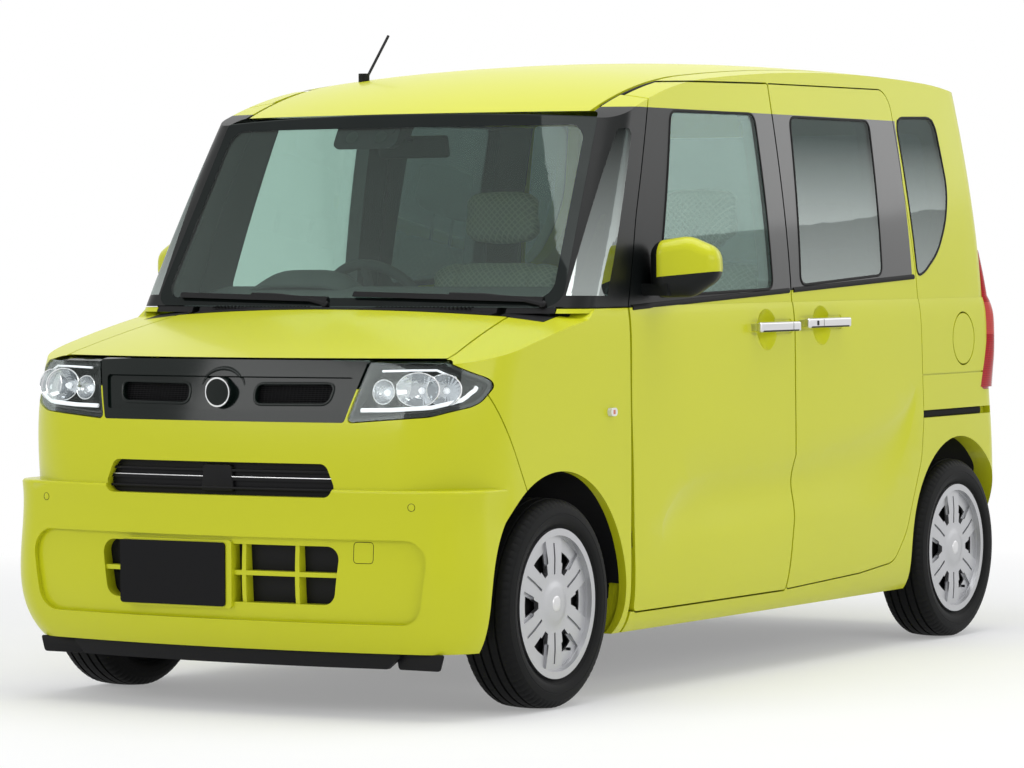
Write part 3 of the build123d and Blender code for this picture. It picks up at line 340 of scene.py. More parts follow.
finishOf = {
    "paint": paint, "gloss_black": glossBlack, "dark_plastic": darkPlastic, "clear_glass": doorGlass,
    "privacy_glass": privacyGlass, "red_lens": redLens, "chrome": satin, "tyre_rubber": rubber,
    "silver_paint": silver, "cabin_plastic": cabinPlastic, "seat_fabric": seatCloth, "chassis_steel": underseal,
}
ownFinish = {
    "windshield": [screenGlass], "headlamp_lenses": [lensGlass], "side_lamps": [sideLampLens],
    "roof_panel": [paint, headliner], "tailgate": [paint, trimGrey], "hood": [paint, darkPlastic],
    "front_plate": [plateBlack], "headlamp_housings": [glossBlack],
}


# which faces of a panel take its second finish: trim inside, hinge arms, mirror glass
def facesInward(face):
    middle = face.calc_center_median()
    return face.normal.y * (1 if middle.y > 0 else -1) < -0.25


def facesDown(face):
    return face.normal.z < -0.3


def facesAhead(face):
    return face.normal.x > 0.3


hingeArm = dict(hoodRear=1.088, front=1.13, y=0.49, half=0.009)
mirrorTurn = math.radians(22.0)


def isHingeArm(face):
    h = hingeArm
    middle = face.calc_center_median()
    beside = abs(abs(middle.y) - h["y"]) < h["half"]
    return middle.x < h["hoodRear"] or (face.normal.z < 0.2 and middle.x < h["front"] and beside)


def isMirrorGlass(face):
    side = 1 if face.calc_center_median().y > 0 else -1
    out = Vector((-math.cos(mirrorTurn), -math.sin(mirrorTurn) * side, 0))
    return face.normal.dot(out) > 0.97 and face.calc_area() > 2e-6


secondFinish = {"roof_panel": facesDown, "tailgate": facesAhead, "hood": isHingeArm}
for side in ("_left", "_right"):
    for panel in ("body_side", "door", "rear_door"):
        ownFinish[panel + side] = [sidePaint, trimGrey]
        secondFinish[panel + side] = facesInward
    ownFinish["mirror" + side] = [mirrorPaint, mirrorFace]
    secondFinish["mirror" + side] = isMirrorGlass


def shadeEdges(shape, degrees):
    limit = math.radians(degrees)
    for face in shape.faces:
        face.smooth = True
    for edge in shape.edges:
        edge.smooth = len(edge.link_faces) == 2 and edge.calc_face_angle(math.pi) < limit


def addObject(name, mesh):
    piece = bpy.data.objects.new(name, mesh)
    bpy.context.scene.collection.objects.link(piece)
    return piece


def smoothCopy(node, degrees=24.0):
    mesh = nodes[node].data.copy()
    shape = bmesh.new()
    shape.from_mesh(mesh)
    bmesh.ops.remove_doubles(shape, verts=shape.verts, dist=2e-6)
    shape.normal_update()
    pick = secondFinish.get(node)
    for face in shape.faces:
        face.material_index = 1 if pick and pick(face) else 0
    shadeEdges(shape, degrees)
    shape.to_mesh(mesh)
    shape.free()
    mesh.materials.clear()
    for finish in ownFinish.get(node, [finishOf[slotOf[node]]]):
        mesh.materials.append(finish)
    piece = addObject(node + ".skin", mesh)
    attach(piece, bodyOf[node])
    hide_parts(node)
    return piece


remade = {"tyre_front_left", "tyre_front_right", "tyre_rear_left", "tyre_rear_right", "front_seats", "rear_seat"}
skins = {node: smoothCopy(node) for node in sorted(nodes) if node not in remade}
print("skins made:", len(skins))


# shared shaping tools
def addPiece(name, shape, body, slot, finish, hides=(), degrees=30.0):
    bmesh.ops.remove_doubles(shape, verts=shape.verts, dist=1e-5)
    bmesh.ops.recalc_face_normals(shape, faces=shape.faces)
    shadeEdges(shape, degrees)
    mesh = bpy.data.meshes.new(name)
    shape.to_mesh(mesh)
    shape.free()
    for each in finish if isinstance(finish, list) else [finish]:
        mesh.materials.append(each)
    piece = addObject(name, mesh)
    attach(piece, body)
    if hides:
        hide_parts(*hides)
    return piece


onBody = ("body", "body")
onDoors = ("door_left", "door_right")


def addPair(name, make, slot, finish, bodies=onBody, degrees=30.0):
    # the same piece on the left and, mirrored, on the right
    for side, label, body in ((1, "left", bodies[0]), (-1, "right", bodies[-1])):
        shape = bmesh.new()
        make(shape)
        for vert in shape.verts:
            vert.co.y *= side
        addPiece(name + "." + label, shape, body, slot, finish, degrees=degrees)


def surface(*names):
    points, faces = [], []
    for name in names:
        mesh = skins[name].data
        start = len(points)
        points += [vert.co.copy() for vert in mesh.vertices]
        faces += [[start + i for i in face.vertices] for face in mesh.polygons]
    return BVHTree.FromPolygons(points, faces)


def touch(tree, start, way):
    place, normal = tree.ray_cast(Vector(start), Vector(way))[:2]
    if place is None:
        raise ValueError("no surface seen from " + str(tuple(start)))
    return place, normal if normal.dot(Vector(way)) < 0 else -normal


def fromFront(tree, y, z):
    return touch(tree, (2.3, y, z), (-1, 0, 0))


def fromLeft(tree, x, z):
    return touch(tree, (x, 1.4, z), (0, -1, 0))


def fromTop(tree, x, y):
    return touch(tree, (x, y, 2.4), (0, 0, -1))


def fromRear(tree, y, z):
    return touch(tree, (-2.3, y, z), (1, 0, 0))


def roundedLoop(points, radius, steps=5):
    loop = []
    count = len(points)
    for i in range(count):
        here, before, after = Vector(points[i]), Vector(points[i - 1]), Vector(points[(i + 1) % count])
        cut = min(radius, (before - here).length * 0.45, (after - here).length * 0.45)
        first = here + (before - here).normalized() * cut
        last = here + (after - here).normalized() * cut
        for k in range(steps + 1):
            t = k / steps
            loop.append(first * (1 - t) ** 2 + here * (2 * t * (1 - t)) + last * t ** 2)
    return loop


def divided(points, step, closed=False):
    path = []
    ends = points + [points[0]] if closed else points
    for a, b in zip(ends, ends[1:]):
        a, b = Vector(a), Vector(b)
        count = max(1, round((b - a).length / step))
        path += [a.lerp(b, k / count) for k in range(count)]
    if not closed:
        path.append(Vector(ends[-1]))
    return path


def oval(wide, high, steps=10):
    # section of a strip: flat oval, wide along the surface and high out of it
    return [(wide / 2 * math.cos(2 * math.pi * k / steps), high / 2 * math.sin(2 * math.pi * k / steps))
            for k in range(steps)]


def spread(start, end, count):
    return [start + (end - start) * k / count for k in range(count + 1)]


def bridge(shape, rings, closed=False):
    # skins a chain of equal rings of corners and caps its ends
    size = len(rings[0])
    for a, b in list(zip(rings, rings[1:])) + ([(rings[-1], rings[0])] if closed else []):
        for k in range(size):
            n = (k + 1) % size
            shape.faces.new((a[k], a[n], b[n], b[k]))
    if not closed:
        shape.faces.new(rings[0])
        shape.faces.new(list(reversed(rings[-1])))


def sweep(shape, path, normals, section, closed=False, taper=None):
    rings = []
    count = len(path)
    for i in range(count):
        before = path[i - 1] if closed or i else path[0]
        after = path[(i + 1) % count] if closed or i < count - 1 else path[-1]
        along = (after - before).normalized()
        sideways = along.cross(normals[i]).normalized()
        out = sideways.cross(along).normalized()
        share = taper(i / max(1, count - 1)) if taper else 1.0
        rings.append([shape.verts.new(path[i] + sideways * u * share + out * v * share) for u, v in section])
    bridge(shape, rings, closed)


def layOn(shape, spots, section, lift=0.0, closed=False, taper=None):
    # sweeps a section along the (point, normal) spots of a surface
    sweep(shape, [p + n * lift for p, n in spots], [n for p, n in spots], section, closed, taper)


def addStrip(name, spots, section, body, slot, finish, closed=False, taper=None):
    shape = bmesh.new()
    layOn(shape, spots, section, 0.0, closed, taper)
    addPiece(name, shape, body, slot, finish)


def rectangle(left, low, right, high):
    return [(left, low), (right, low), (right, high), (left, high)]


def lathe(shape, profile, steps, centre, axis=(0, 1, 0), start=(0, 0, 1), wave=None):
    # turns a profile of (along the axis, radius) points round an axis
    axis = Vector(axis).normalized()
    first = Vector(start).normalized()
    second = axis.cross(first)
    rings = []
    for i in range(steps):
        angle = 2 * math.pi * i / steps
        way = first * math.cos(angle) + second * math.sin(angle)
        rings.append([shape.verts.new(Vector(centre) + axis * a + way * (r - (wave(i, a, r) if wave else 0.0)))
                      for a, r in profile])
    size = len(profile)
    for i in range(steps):
        a, b = rings[i], rings[(i + 1) % steps]
        for k in range(size):
            n = (k + 1) % size
            corners = [a[k], a[n], b[n], b[k]]
            if (a[k].co - b[k].co).length < 1e-7:
                corners = [a[k], a[n], b[n]]
            elif (a[n].co - b[n].co).length < 1e-7:
                corners = [a[k], a[n], b[k]]
            shape.faces.new(corners)


def addTurned(name, profile, steps, centre, axis, body, slot, finish, wave=None, **more):
    shape = bmesh.new()
    lathe(shape, profile, steps, centre, axis, wave=wave)
    addPiece(name, shape, body, slot, finish, **more)


def turnOn(shape, profile, steps, place, normal):
    # a turned form that stands on a surface
    lathe(shape, profile, steps, place, normal, normal.cross(Vector((0, 1, 0))))


def slab(shape, points, normal, depth, edge=0.0, steps=3):
    # a flat outline given thickness, with its outer rim rounded over
    normal = Vector(normal).normalized()
    middle = sum((Vector(p) for p in points), Vector()) / len(points)
    layers = [(0.0, 0.0)] + [(depth - edge + edge * math.sin(math.pi / 2 * k / steps),
                              edge * (1 - math.cos(math.pi / 2 * k / steps))) for k in range(steps + 1)]
    rings = []
    for lift, inset in layers:
        ring = []
        for point in points:
            point = Vector(point)
            inward = (middle - point).normalized() * inset
            ring.append(shape.verts.new(point + inward + normal * lift))
        rings.append(ring)
    bridge(shape, rings[::-1])


# one geometry tree lays a row of rounded bars, each along a line that can bow back at its ends
def barRowTree():
    tree = bpy.data.node_groups.new("barRow", "GeometryNodeTree")
    kinds = (("From", "NodeSocketVector"), ("To", "NodeSocketVector"), ("Step", "NodeSocketVector"),
             ("Count", "NodeSocketInt"), ("Wide", "NodeSocketFloat"), ("High", "NodeSocketFloat"),
             ("Round", "NodeSocketFloat"), ("Bow", "NodeSocketFloat"), ("Finish", "NodeSocketMaterial"))
    names = {}
    for label, kind in kinds:
        names[label] = tree.interface.new_socket(name=label, in_out="INPUT", socket_type=kind).identifier
    tree.interface.new_socket(name="Bars", in_out="OUTPUT", socket_type="NodeSocketGeometry")
    graph = Graph(tree)
    given = graph.nodes.new("NodeGroupInput")
    take = {label: Socket(graph, given.outputs[label]) for label, kind in kinds}
    line = graph.add("GeometryNodeCurvePrimitiveLine", {}, {"Start": take["From"], "End": take["To"]})
    line = graph.add("GeometryNodeResampleCurve", {}, {"Curve": line, "Count": 16})
    section = graph.add("GeometryNodeCurvePrimitiveQuadrilateral", {}, {"Width": take["Wide"], "Height": take["High"]})
    corner = {"Curve": section, "Radius": take["Round"], "Count": 2}
    section = graph.add("GeometryNodeFilletCurve", {"mode": "POLY"}, corner)
    bar = graph.add("GeometryNodeCurveToMesh", {}, {"Curve": line, "Profile Curve": section, "Fill Caps": True})
    row = graph.add("GeometryNodeMeshLine", {}, {"Count": take["Count"], "Offset": take["Step"]})
    bars = graph.add("GeometryNodeInstanceOnPoints", {}, {"Points": row, "Instance": bar})
    bars = graph.add("GeometryNodeRealizeInstances", {}, {"Geometry": bars})
    x, y, z = graph.axes(graph.add("GeometryNodeInputPosition"))
    back = graph.add("ShaderNodeCombineXYZ", {}, {"X": y * y * take["Bow"] * -1.0})
    bars = graph.add("GeometryNodeSetPosition", {}, {"Geometry": bars, "Offset": back})
    bars = graph.add("GeometryNodeSetMaterial", {}, {"Geometry": bars, "Material": take["Finish"]})
    given = graph.nodes.new("NodeGroupOutput")
    graph.feed(given.inputs[0], bars)
    return tree, names


barRow, barInput = barRowTree()


def barMesh(values):
    mesh = bpy.data.meshes.new("bars")
    holder = addObject("bars", mesh)
    row = holder.modifiers.new("bars", "NODES")
    row.node_group = barRow
    for label, value in values.items():
        row[barInput[label]] = value
    bpy.context.view_layer.update()
    seen = holder.evaluated_get(bpy.context.evaluated_depsgraph_get())
    made = bpy.data.meshes.new_from_object(seen)
    holder.modifiers.remove(row)
    bpy.data.objects.remove(holder)
    return made


def bars(start, end, wide, high, edge, bow=0.0, step=(0, 0, 0), count=1):
    return dict(From=start, To=end, Step=step, Count=count, Wide=wide, High=high, Round=edge, Bow=bow)


def addBars(name, rows, body, slot, finish, mirror=False):
    # several bar rows joined into one plain mesh on one body
    shape = bmesh.new()
    for values in rows:
        made = barMesh(dict(values, Finish=finish))
        shape.from_mesh(made)
        bpy.data.meshes.remove(made)
    if mirror:
        twin = bmesh.ops.duplicate(shape, geom=shape.verts[:] + shape.edges[:] + shape.faces[:])["geom"]
        for part in twin:
            if isinstance(part, bmesh.types.BMVert):
                part.co.y *= -1
    for face in shape.faces:
        face.material_index = 0
    return addPiece(name, shape, body, slot, finish)


# tyres: grooved tread, sipes across the shoulders, ribbed sidewalls
tyreForm = dict(radius=0.275, crownDrop=0.003, treadHalf=0.0555, grooves=(-0.040, -0.014, 0.014, 0.040),
                grooveWide=0.007, grooveDeep=0.006, blockStep=0.013, sipes=78, sipeDeep=0.0024, sipesFrom=0.050,
                sipesAbove=0.2535, ribDeep=0.0016, ribsFrom=0.0175, ribsTo=0.0365, ribsAbove=0.270)
tyreSide = [(0.0600, 0.1883), (0.0606, 0.1960), (0.0640, 0.2030), (0.0700, 0.2085), (0.0702, 0.2100),
            (0.0712, 0.2102), (0.0750, 0.2165), (0.0768, 0.2240), (0.0773, 0.2320), (0.0766, 0.2326),
            (0.0766, 0.2350), (0.0773, 0.2356), (0.0766, 0.2440), (0.0745, 0.2530), (0.0738, 0.2534),
            (0.0700, 0.2605), (0.0660, 0.2650), (0.0610, 0.2690)]
wheelPlaces = [("front", "left", 1.1575, 0.650, 1), ("front", "right", 1.1575, -0.650, -1),
               ("rear", "left", -1.3025, 0.6475, 1), ("rear", "right", -1.3025, -0.6475, -1)]
axleHeight = 0.275


def tyreProfile():
    form = tyreForm

    def crown(a):
        return form["radius"] - form["crownDrop"] * (a / form["treadHalf"]) ** 2

    tread = [(form["treadHalf"], crown(form["treadHalf"]))]
    half = form["grooveWide"] / 2
    for middle in reversed(form["grooves"]):
        for a, deep in ((half, 0), (half * 0.8, 1), (-half * 0.8, 1), (-half, 0)):
            tread.append((middle + a, crown(middle + a) - deep * form["grooveDeep"]))
        tread.append((middle - form["blockStep"], crown(middle - form["blockStep"])))
    tread[-1] = (-form["treadHalf"], crown(form["treadHalf"]))
    return tyreSide + tread + [(-a, r) for a, r in reversed(tyreSide)]


def tyreCut(i, a, r):
    form = tyreForm
    if abs(a) > form["sipesFrom"] and r > form["sipesAbove"]:
        return form["sipeDeep"] if i % 4 == 0 else 0.0
    if form["ribsFrom"] < abs(a) < form["ribsTo"] and r > form["ribsAbove"]:
        return form["ribDeep"] if i % 8 == 2 else 0.0
    return 0.0


for end, label, x, y, side in wheelPlaces:
    addTurned(f"tyre.{end}.{label}", tyreProfile(), tyreForm["sipes"] * 4, (x, y, axleHeight), (0, side, 0),
              f"wheel_{end}_{label}", "tyre_rubber", rubber, tyreCut, hides=(f"tyre_{end}_{label}",), degrees=28.0)

# brake drum behind each wheel cover, a real part coloured near black as painted shade in the cover's openings; bare
# centre cap and valve
drumForm = dict(inner=0.0585, outer=0.158, back=-0.016, front=0.030, fins=0.004)
capForm = [(0.0655, 0.0), (0.0690, 0.0), (0.0686, 0.012), (0.0676, 0.0185), (0.0668, 0.0205), (0.0655, 0.0212)]
valveForm = dict(radius=0.147, turn=238.0, low=0.040, high=0.062, thick=0.0042)
for end, label, x, y, side in wheelPlaces:
    body = f"wheel_{end}_{label}"
    hub, axis = Vector((x, y, axleHeight)), (0, side, 0)
    d = drumForm
    profile = [(d["back"], d["inner"]), (d["back"], d["outer"])]
    for k in range(5):
        a = d["back"] + (d["front"] - d["back"]) * (k + 0.5) / 5
        profile += [(a - 0.002, d["outer"]), (a - 0.001, d["outer"] - d["fins"]), (a + 0.001, d["outer"] - d["fins"])]
    profile += [(d["front"], d["outer"]), (d["front"] + 0.003, d["outer"] - 0.006), (d["front"] + 0.003, d["inner"])]
    addTurned(f"brakeDrum.{end}.{label}", profile, 64, hub, axis, body, "silver_paint", drumPaintedShade)
    addTurned(f"centreCap.{end}.{label}", capForm, 48, hub, axis, body, "silver_paint", satin, degrees=40.0)
    v = valveForm
    angle = math.radians(v["turn"])
    foot = hub + Vector((math.cos(angle) * v["radius"], 0, math.sin(angle) * v["radius"]))
    thick, high = v["thick"], v["high"]
    stem = [(v["low"], 0.0), (v["low"], thick), (high - 0.009, thick), (high - 0.008, thick * 0.8),
            (high - 0.007, thick), (high - 0.001, thick), (high, thick * 0.6), (high, 0.0)]
    addTurned(f"valve.{end}.{label}", stem, 16, foot, axis, body, "silver_paint", darkPlastic)
print("wheels dressed")

# headlamps: dark bezel, two light guides, faceted reflectors
lampForm = dict(top=[(0.433, 0.9065), (0.602, 0.9065), (0.652, 0.8835), (0.694, 0.861)],
                low=[(0.391, 0.7665), (0.600, 0.7820), (0.664, 0.8015), (0.693, 0.836)],
                rimDeep=0.007, floorDeep=0.042, across=36, up=14, slopeAcross=0.10, slopeUp=0.22, skin=0.002)
lensTree = surface("headlamp_lenses")


def alongLine(points, t):
    lengths = [(Vector(b) - Vector(a)).length for a, b in zip(points, points[1:])]
    goal = t * sum(lengths)
    for a, b, size in zip(points, points[1:], lengths):
        if goal <= size or b == points[-1]:
            return Vector(a).lerp(Vector(b), min(1.0, goal / size))
        goal -= size


def lampEdge(points, u, step):
    # a point on the outline, drawn in until the lens lies in front of it
    y, z = alongLine(points, u)
    while lensTree.ray_cast(Vector((2.3, y, z + step)), Vector((-1, 0, 0)))[0] is None:
        z += step / 4
    return Vector((y, z + step))


lampEdges = {}


def lampPoint(u, v, deep):
    if u not in lampEdges:
        lampEdges[u] = lampEdge(lampForm["low"], u, 0.004), lampEdge(lampForm["top"], u, -0.004)
    low, top = lampEdges[u]
    y, z = low.lerp(top, v)
    place, normal = fromFront(lensTree, y, z)
    return place - normal * deep, normal


def sheetOf(shape, grid, thickness):
    # a closed shell from a grid of (point, normal)
    front = [[shape.verts.new(p) for p, n in row] for row in grid]
    back = [[shape.verts.new(p - n * thickness) for p, n in row] for row in grid]
    rows, columns = len(grid), len(grid[0])
    for layer in (front, back):
        for i in range(rows - 1):
            for j in range(columns - 1):
                shape.faces.new((layer[i][j], layer[i][j + 1], layer[i + 1][j + 1], layer[i + 1][j]))
    border = [(0, j) for j in range(columns)] + [(i, columns - 1) for i in range(1, rows)]
    border += [(rows - 1, j) for j in range(columns - 2, -1, -1)] + [(i, 0) for i in range(rows - 2, 0, -1)]
    for (i, j), (k, m) in zip(border, border[1:] + border[:1]):
        shape.faces.new((front[i][j], front[k][m], back[k][m], back[i][j]))


def ease(t):
    t = max(0.0, min(1.0, t))
    return t * t * (3 - 2 * t)


def lampBezel(shape):
    f = lampForm
    grid = []
    for i in range(f["across"] + 1):
        row = []
        for j in range(f["up"] + 1):
            u, v = i / f["across"], j / f["up"]
            edge = min(ease(min(u, 1 - u) / f["slopeAcross"]), ease(min(v, 1 - v) / f["slopeUp"]))
            row.append(lampPoint(u, v, f["rimDeep"] + (f["floorDeep"] - f["rimDeep"]) * edge))
        grid.append(row)
    sheetOf(shape, grid, f["skin"])


guideForms = {
    "lowerGuide": dict(deep=0.011, wide=0.011, high=0.007, stops=[
        (0.05, 0.15), (0.30, 0.12), (0.60, 0.11), (0.80, 0.13), (0.90, 0.20), (0.955, 0.36), (0.965, 0.62)]),
    "upperGuide": dict(deep=0.012, wide=0.006, high=0.006, stops=[
        (0.10, 0.915), (0.40, 0.93), (0.62, 0.93), (0.80, 0.90)]),
}


def lampGuide(form):
    def make(shape):
        stops, deep = form["stops"], form["deep"]
        spots = []
        for (u0, v0), (u1, v1) in zip(stops, stops[1:]):
            spots += [lampPoint(u0 + (u1 - u0) * (k / 12), v0 + (v1 - v0) * (k / 12), deep) for k in range(12)]
        layOn(shape, spots + [lampPoint(*stops[-1], deep)], oval(form["wide"], form["high"], 12))
    return make


# each bowl: place across and up the lamp, half width, half height, depth
bowlForm = dict(inner=(0.19, 0.50, 0.029, 0.029, 0.026), middle=(0.50, 0.52, 0.058, 0.041, 0.030),
                outer=(0.72, 0.52, 0.044, 0.038, 0.028))


bowlSet = dict(deep=0.012, ahead=1.2, skin=0.0018, rim=0.004, rimGap=0.002)


def bowlAxes(u, v):
    # middle of a bowl's mouth and its axes, turned partly ahead from the lens
    place, normal = lampPoint(u, v, bowlSet["deep"])
    out = (normal + Vector((bowlSet["ahead"], 0, 0))).normalized()
    right = Vector((0, 0, 1)).cross(out).normalized()
    return place, out, right, out.cross(right)


def ellipse(middle, right, up, wide, high, parts):
    turns = [2 * math.pi * i / parts for i in range(parts)]
    return [middle + right * math.cos(turn) * wide + up * math.sin(turn) * high for turn in turns]


def bowl(shape, u, v, wide, high, deep, rings=6, parts=20):
    place, out, right, up = bowlAxes(u, v)
    rims = []
    for skin in (0.0, bowlSet["skin"]):
        tip = shape.verts.new(place - out * (deep + skin * 1.5))
        rows = []
        for k in range(1, rings + 1):
            t = k / rings
            middle = place - out * (deep * (1 - t * t) + skin * 1.5)
            row = ellipse(middle, right, up, wide * t + skin, high * t + skin, parts)
            rows.append([shape.verts.new(p) for p in row])
        for i in range(parts):
            n = (i + 1) % parts
            shape.faces.new((tip, rows[0][i], rows[0][n]))
            for a, b in zip(rows, rows[1:]):
                shape.faces.new((a[i], b[i], b[n], a[n]))
        rims.append(rows[-1])
    inner, outer = rims
    for i in range(parts):
        n = (i + 1) % parts
        shape.faces.new((inner[i], outer[i], outer[n], inner[n]))


def lampBowls(shape):
    for form in bowlForm.values():
        bowl(shape, *form)


def lampBulbs(shape):
    for u, v, wide, high, deep in bowlForm.values():
        place, out = bowlAxes(u, v)[:2]
        stem = [(-deep + 0.001, 0.0), (-deep + 0.001, 0.0085), (-deep + 0.006, 0.0085), (-deep + 0.008, 0.006),
                (-deep + 0.014, 0.0055), (-deep + 0.017, 0.003), (-deep + 0.018, 0.0)]
        turnOn(shape, stem, 16, place, out)


def lampRims(shape):
    # thin bright rings round the reflectors
    for u, v, wide, high, deep in bowlForm.values():
        place, out, right, up = bowlAxes(u, v)
        gap, rim = bowlSet["rimGap"], bowlSet["rim"]
        path = ellipse(place, right, up, wide + gap, high + gap, 40)
        sweep(shape, path, [out] * len(path), oval(rim, rim, 8), closed=True)


addPair("lampBezel", lampBezel, "gloss_black", glossBlack)
addPair("lampBowls", lampBowls, "chrome", reflector, degrees=2.0)
addPair("lampRims", lampRims, "chrome", chrome)
addPair("lampBulbs", lampBulbs, "clear_glass", whiteGuide)
for name, form in guideForms.items():
    addPair(name, lampGuide(form), "clear_glass", whiteGuide)
print("headlamps dressed")

# grille: woven mesh behind two capsule slots, brow over a bare boss
grilleForm = dict(front=1.630, middle=0.828, lean=-0.25, bow=0.1667, low=0.801, high=0.855, inner=0.100,
                  outer=0.338, pitchUp=0.0052, pitchAcross=0.0105, wire=0.0016, backGap=0.012,
                  backOver=0.004, backThick=0.003, backHigh=0.060)
g = grilleForm
rows = int((g["high"] - g["low"]) / g["pitchUp"]) + 1
columns = int((g["outer"] - g["inner"]) / g["pitchAcross"]) + 1
lowX = g["front"] - (g["low"] - g["middle"]) * -g["lean"]
highX = g["front"] - (g["high"] - g["middle"]) * -g["lean"]
wire = g["wire"]
meshRows = [
    bars((lowX, g["inner"], g["low"]), (lowX, g["outer"], g["low"]), wire * 2, wire, wire * 0.3, g["bow"],
         (g["lean"] * g["pitchUp"], 0, g["pitchUp"]), rows),
    bars((lowX - 0.002, g["inner"], g["low"]), (highX - 0.002, g["inner"], g["high"]), wire, wire, wire * 0.3,
         g["bow"], (0, g["pitchAcross"], 0), columns),
]
addBars("grilleMesh", meshRows, "body", "dark_plastic", darkPlastic, mirror=True)
behind = g["front"] - g["backGap"]
inner, outer = g["inner"] - g["backOver"], g["outer"] + g["backOver"]
backing = bars((behind, inner, g["middle"]), (behind, outer, g["middle"]), g["backThick"], g["backHigh"], 0.0005,
               g["bow"])
addBars("grilleBacking", [backing], "body", "dark_plastic", underseal, mirror=True)
noseTree = surface("nose_grille")
slotForm = dict(outline=[(0.101, 0.800), (0.101, 0.854), (0.335, 0.856), (0.323, 0.802)], radius=0.026)


def slotFrame(shape):
    loop = divided(roundedLoop(slotForm["outline"], slotForm["radius"]), 0.01, closed=True)
    spots = [fromFront(noseTree, y, z) for y, z in loop]
    layOn(shape, spots, oval(0.008, 0.006), closed=True)


addPair("slotFrame", slotFrame, "gloss_black", glossBlack)
browForm = dict(centre=0.836, wide=0.068, high=0.056, low=14.0, thick=0.012, proud=0.008)
spots = []
for degrees in spread(browForm["low"], 180 - browForm["low"], 40):
    angle = math.radians(degrees)
    z = browForm["centre"] + browForm["high"] * math.sin(angle)
    spots.append(fromFront(noseTree, browForm["wide"] * math.cos(angle), z))
addStrip("bossBrow", spots, oval(browForm["thick"], browForm["proud"]), "body", "gloss_black", glossBlack,
         taper=lambda t: 0.35 + 0.65 * math.sin(math.pi * t))
bossForm = dict(place=(1.6665, 0, 0.831),
                ring=[(-0.002, 0.0345), (0.0015, 0.0345), (0.0028, 0.0365), (0.0015, 0.0385), (-0.002, 0.0385)],
                dome=[(-0.002, 0.0), (0.0026, 0.0), (0.0022, 0.014), (0.0012, 0.026), (0.0002, 0.0335),
                      (-0.002, 0.0335)])
boss = bossForm["place"]
addTurned("bossRing", bossForm["ring"], 64, boss, (1, 0, 0), "body", "chrome", chrome, degrees=50.0)
addTurned("bossCap", bossForm["dome"], 64, boss, (1, 0, 0), "body", "gloss_black", glossBlack, degrees=40.0)

# bumper: slats in the upper mouth, sonar discs, towing-eye cover, deflectors
mouthForm = dict(bow=0.1667, slats=[(1.664, 0.350, 0.584), (1.662, 0.344, 0.630)], bright=(1.6668, 0.344, 0.6135),
                 slatSize=(0.012, 0.007, 0.002), brightSize=(0.004, 0.0024, 0.001), blockX=1.655, blockDeep=0.014,
                 block=[(-0.05, 0.575), (0.05, 0.575), (0.044, 0.645), (-0.044, 0.645)])


def mouthBar(place, size):
    x, half, z = place
    return bars((x, -half, z), (x, half, z), *size, mouthForm["bow"])


slats = [mouthBar(place, mouthForm["slatSize"]) for place in mouthForm["slats"]]
addBars("mouthSlats", slats, "body", "dark_plastic", darkPlastic)
addBars("mouthBright", [mouthBar(mouthForm["bright"], mouthForm["brightSize"])], "body", "chrome", satin)
shape = bmesh.new()
loop = roundedLoop(mouthForm["block"], 0.008)
slab(shape, [Vector((mouthForm["blockX"], y, z)) for y, z in loop], (1, 0, 0), mouthForm["blockDeep"], 0.004)
addPiece("mouthBlock", shape, "body", "dark_plastic", darkPlastic)
bumperTree = surface("front_bumper")
sonarForm = dict(y=0.571, z=0.546, radius=0.0088, tow=(0.436, 0.428), towSize=0.027, towRound=0.011)


sonarSpot = fromFront(bumperTree, sonarForm["y"], sonarForm["z"])
r = sonarForm["radius"]
sonarFace = [(-0.003, 0.0), (0.0012, 0.0), (0.0010, r * 0.7), (0.0002, r), (-0.003, r)]
sonarGap = [(-0.003, r + 0.0002), (0.0006, r + 0.0004), (0.0006, r + 0.0014), (-0.003, r + 0.0018)]


def sonarDisc(shape):
    turnOn(shape, sonarFace, 32, *sonarSpot)


def sonarRing(shape):
    turnOn(shape, sonarGap, 32, *sonarSpot)


addPair("sonarDisc", sonarDisc, "paint", paint)
addPair("sonarRing", sonarRing, "dark_plastic", rubberTrim)
y, z = sonarForm["tow"]
s = sonarForm["towSize"]
loop = roundedLoop(rectangle(y - s, z - s, y + s, z + s), sonarForm["towRound"])
spots = [fromFront(bumperTree, *point) for point in divided(loop, 0.006, closed=True)]
addStrip("towCoverSeam", spots, oval(0.0016, 0.0012, 6), "body", "dark_plastic", rubberTrim, closed=True)
deflectorForm = dict(x=1.578, inner=0.490, outer=0.632, low=0.128, high=0.1705, thick=0.006)


def deflector(shape):
    d = deflectorForm
    corners = [(d["inner"], d["high"]), (d["outer"], d["high"]),
               (d["outer"] - 0.012, d["low"]), (d["inner"] + 0.008, d["low"])]
    loop = roundedLoop(corners, 0.008)
    slab(shape, [Vector((d["x"], y, z)) for y, z in loop], (1, 0, 0), d["thick"], 0.0015)


addPair("deflector", deflector, "dark_plastic", darkPlastic)
print("nose dressed")

# mouldings along the belt, rubber seals round the glass, strips in the roof ditches
beltForm = dict(wide=0.015, proud=0.008, doorFrom=0.762, doorTo=-0.160, rearFrom=-0.187, rearTo=-1.004)
windowSeals = {
    "doorSeal": (("door_left", "door_glass_left"), onDoors,
                 [(0.6155, 1.072), (0.4305, 1.573), (-0.0575, 1.577), (-0.0575, 1.087)], 0.028),
    "rearSeal": (("rear_door_left", "side_glazing"), onBody,
                 [(-0.2395, 1.096), (-0.2855, 1.574), (-0.8045, 1.575), (-0.7785, 1.122)], 0.028),
    "quarterSeal": (("body_side_left", "side_glazing"), onBody,
                    [(-1.0025, 1.589), (-1.2775, 1.596), (-1.3075, 1.380), (-1.2725, 1.285),
                     (-1.1945, 1.190), (-1.0865, 1.130), (-1.0345, 1.117)], 0.05),
}


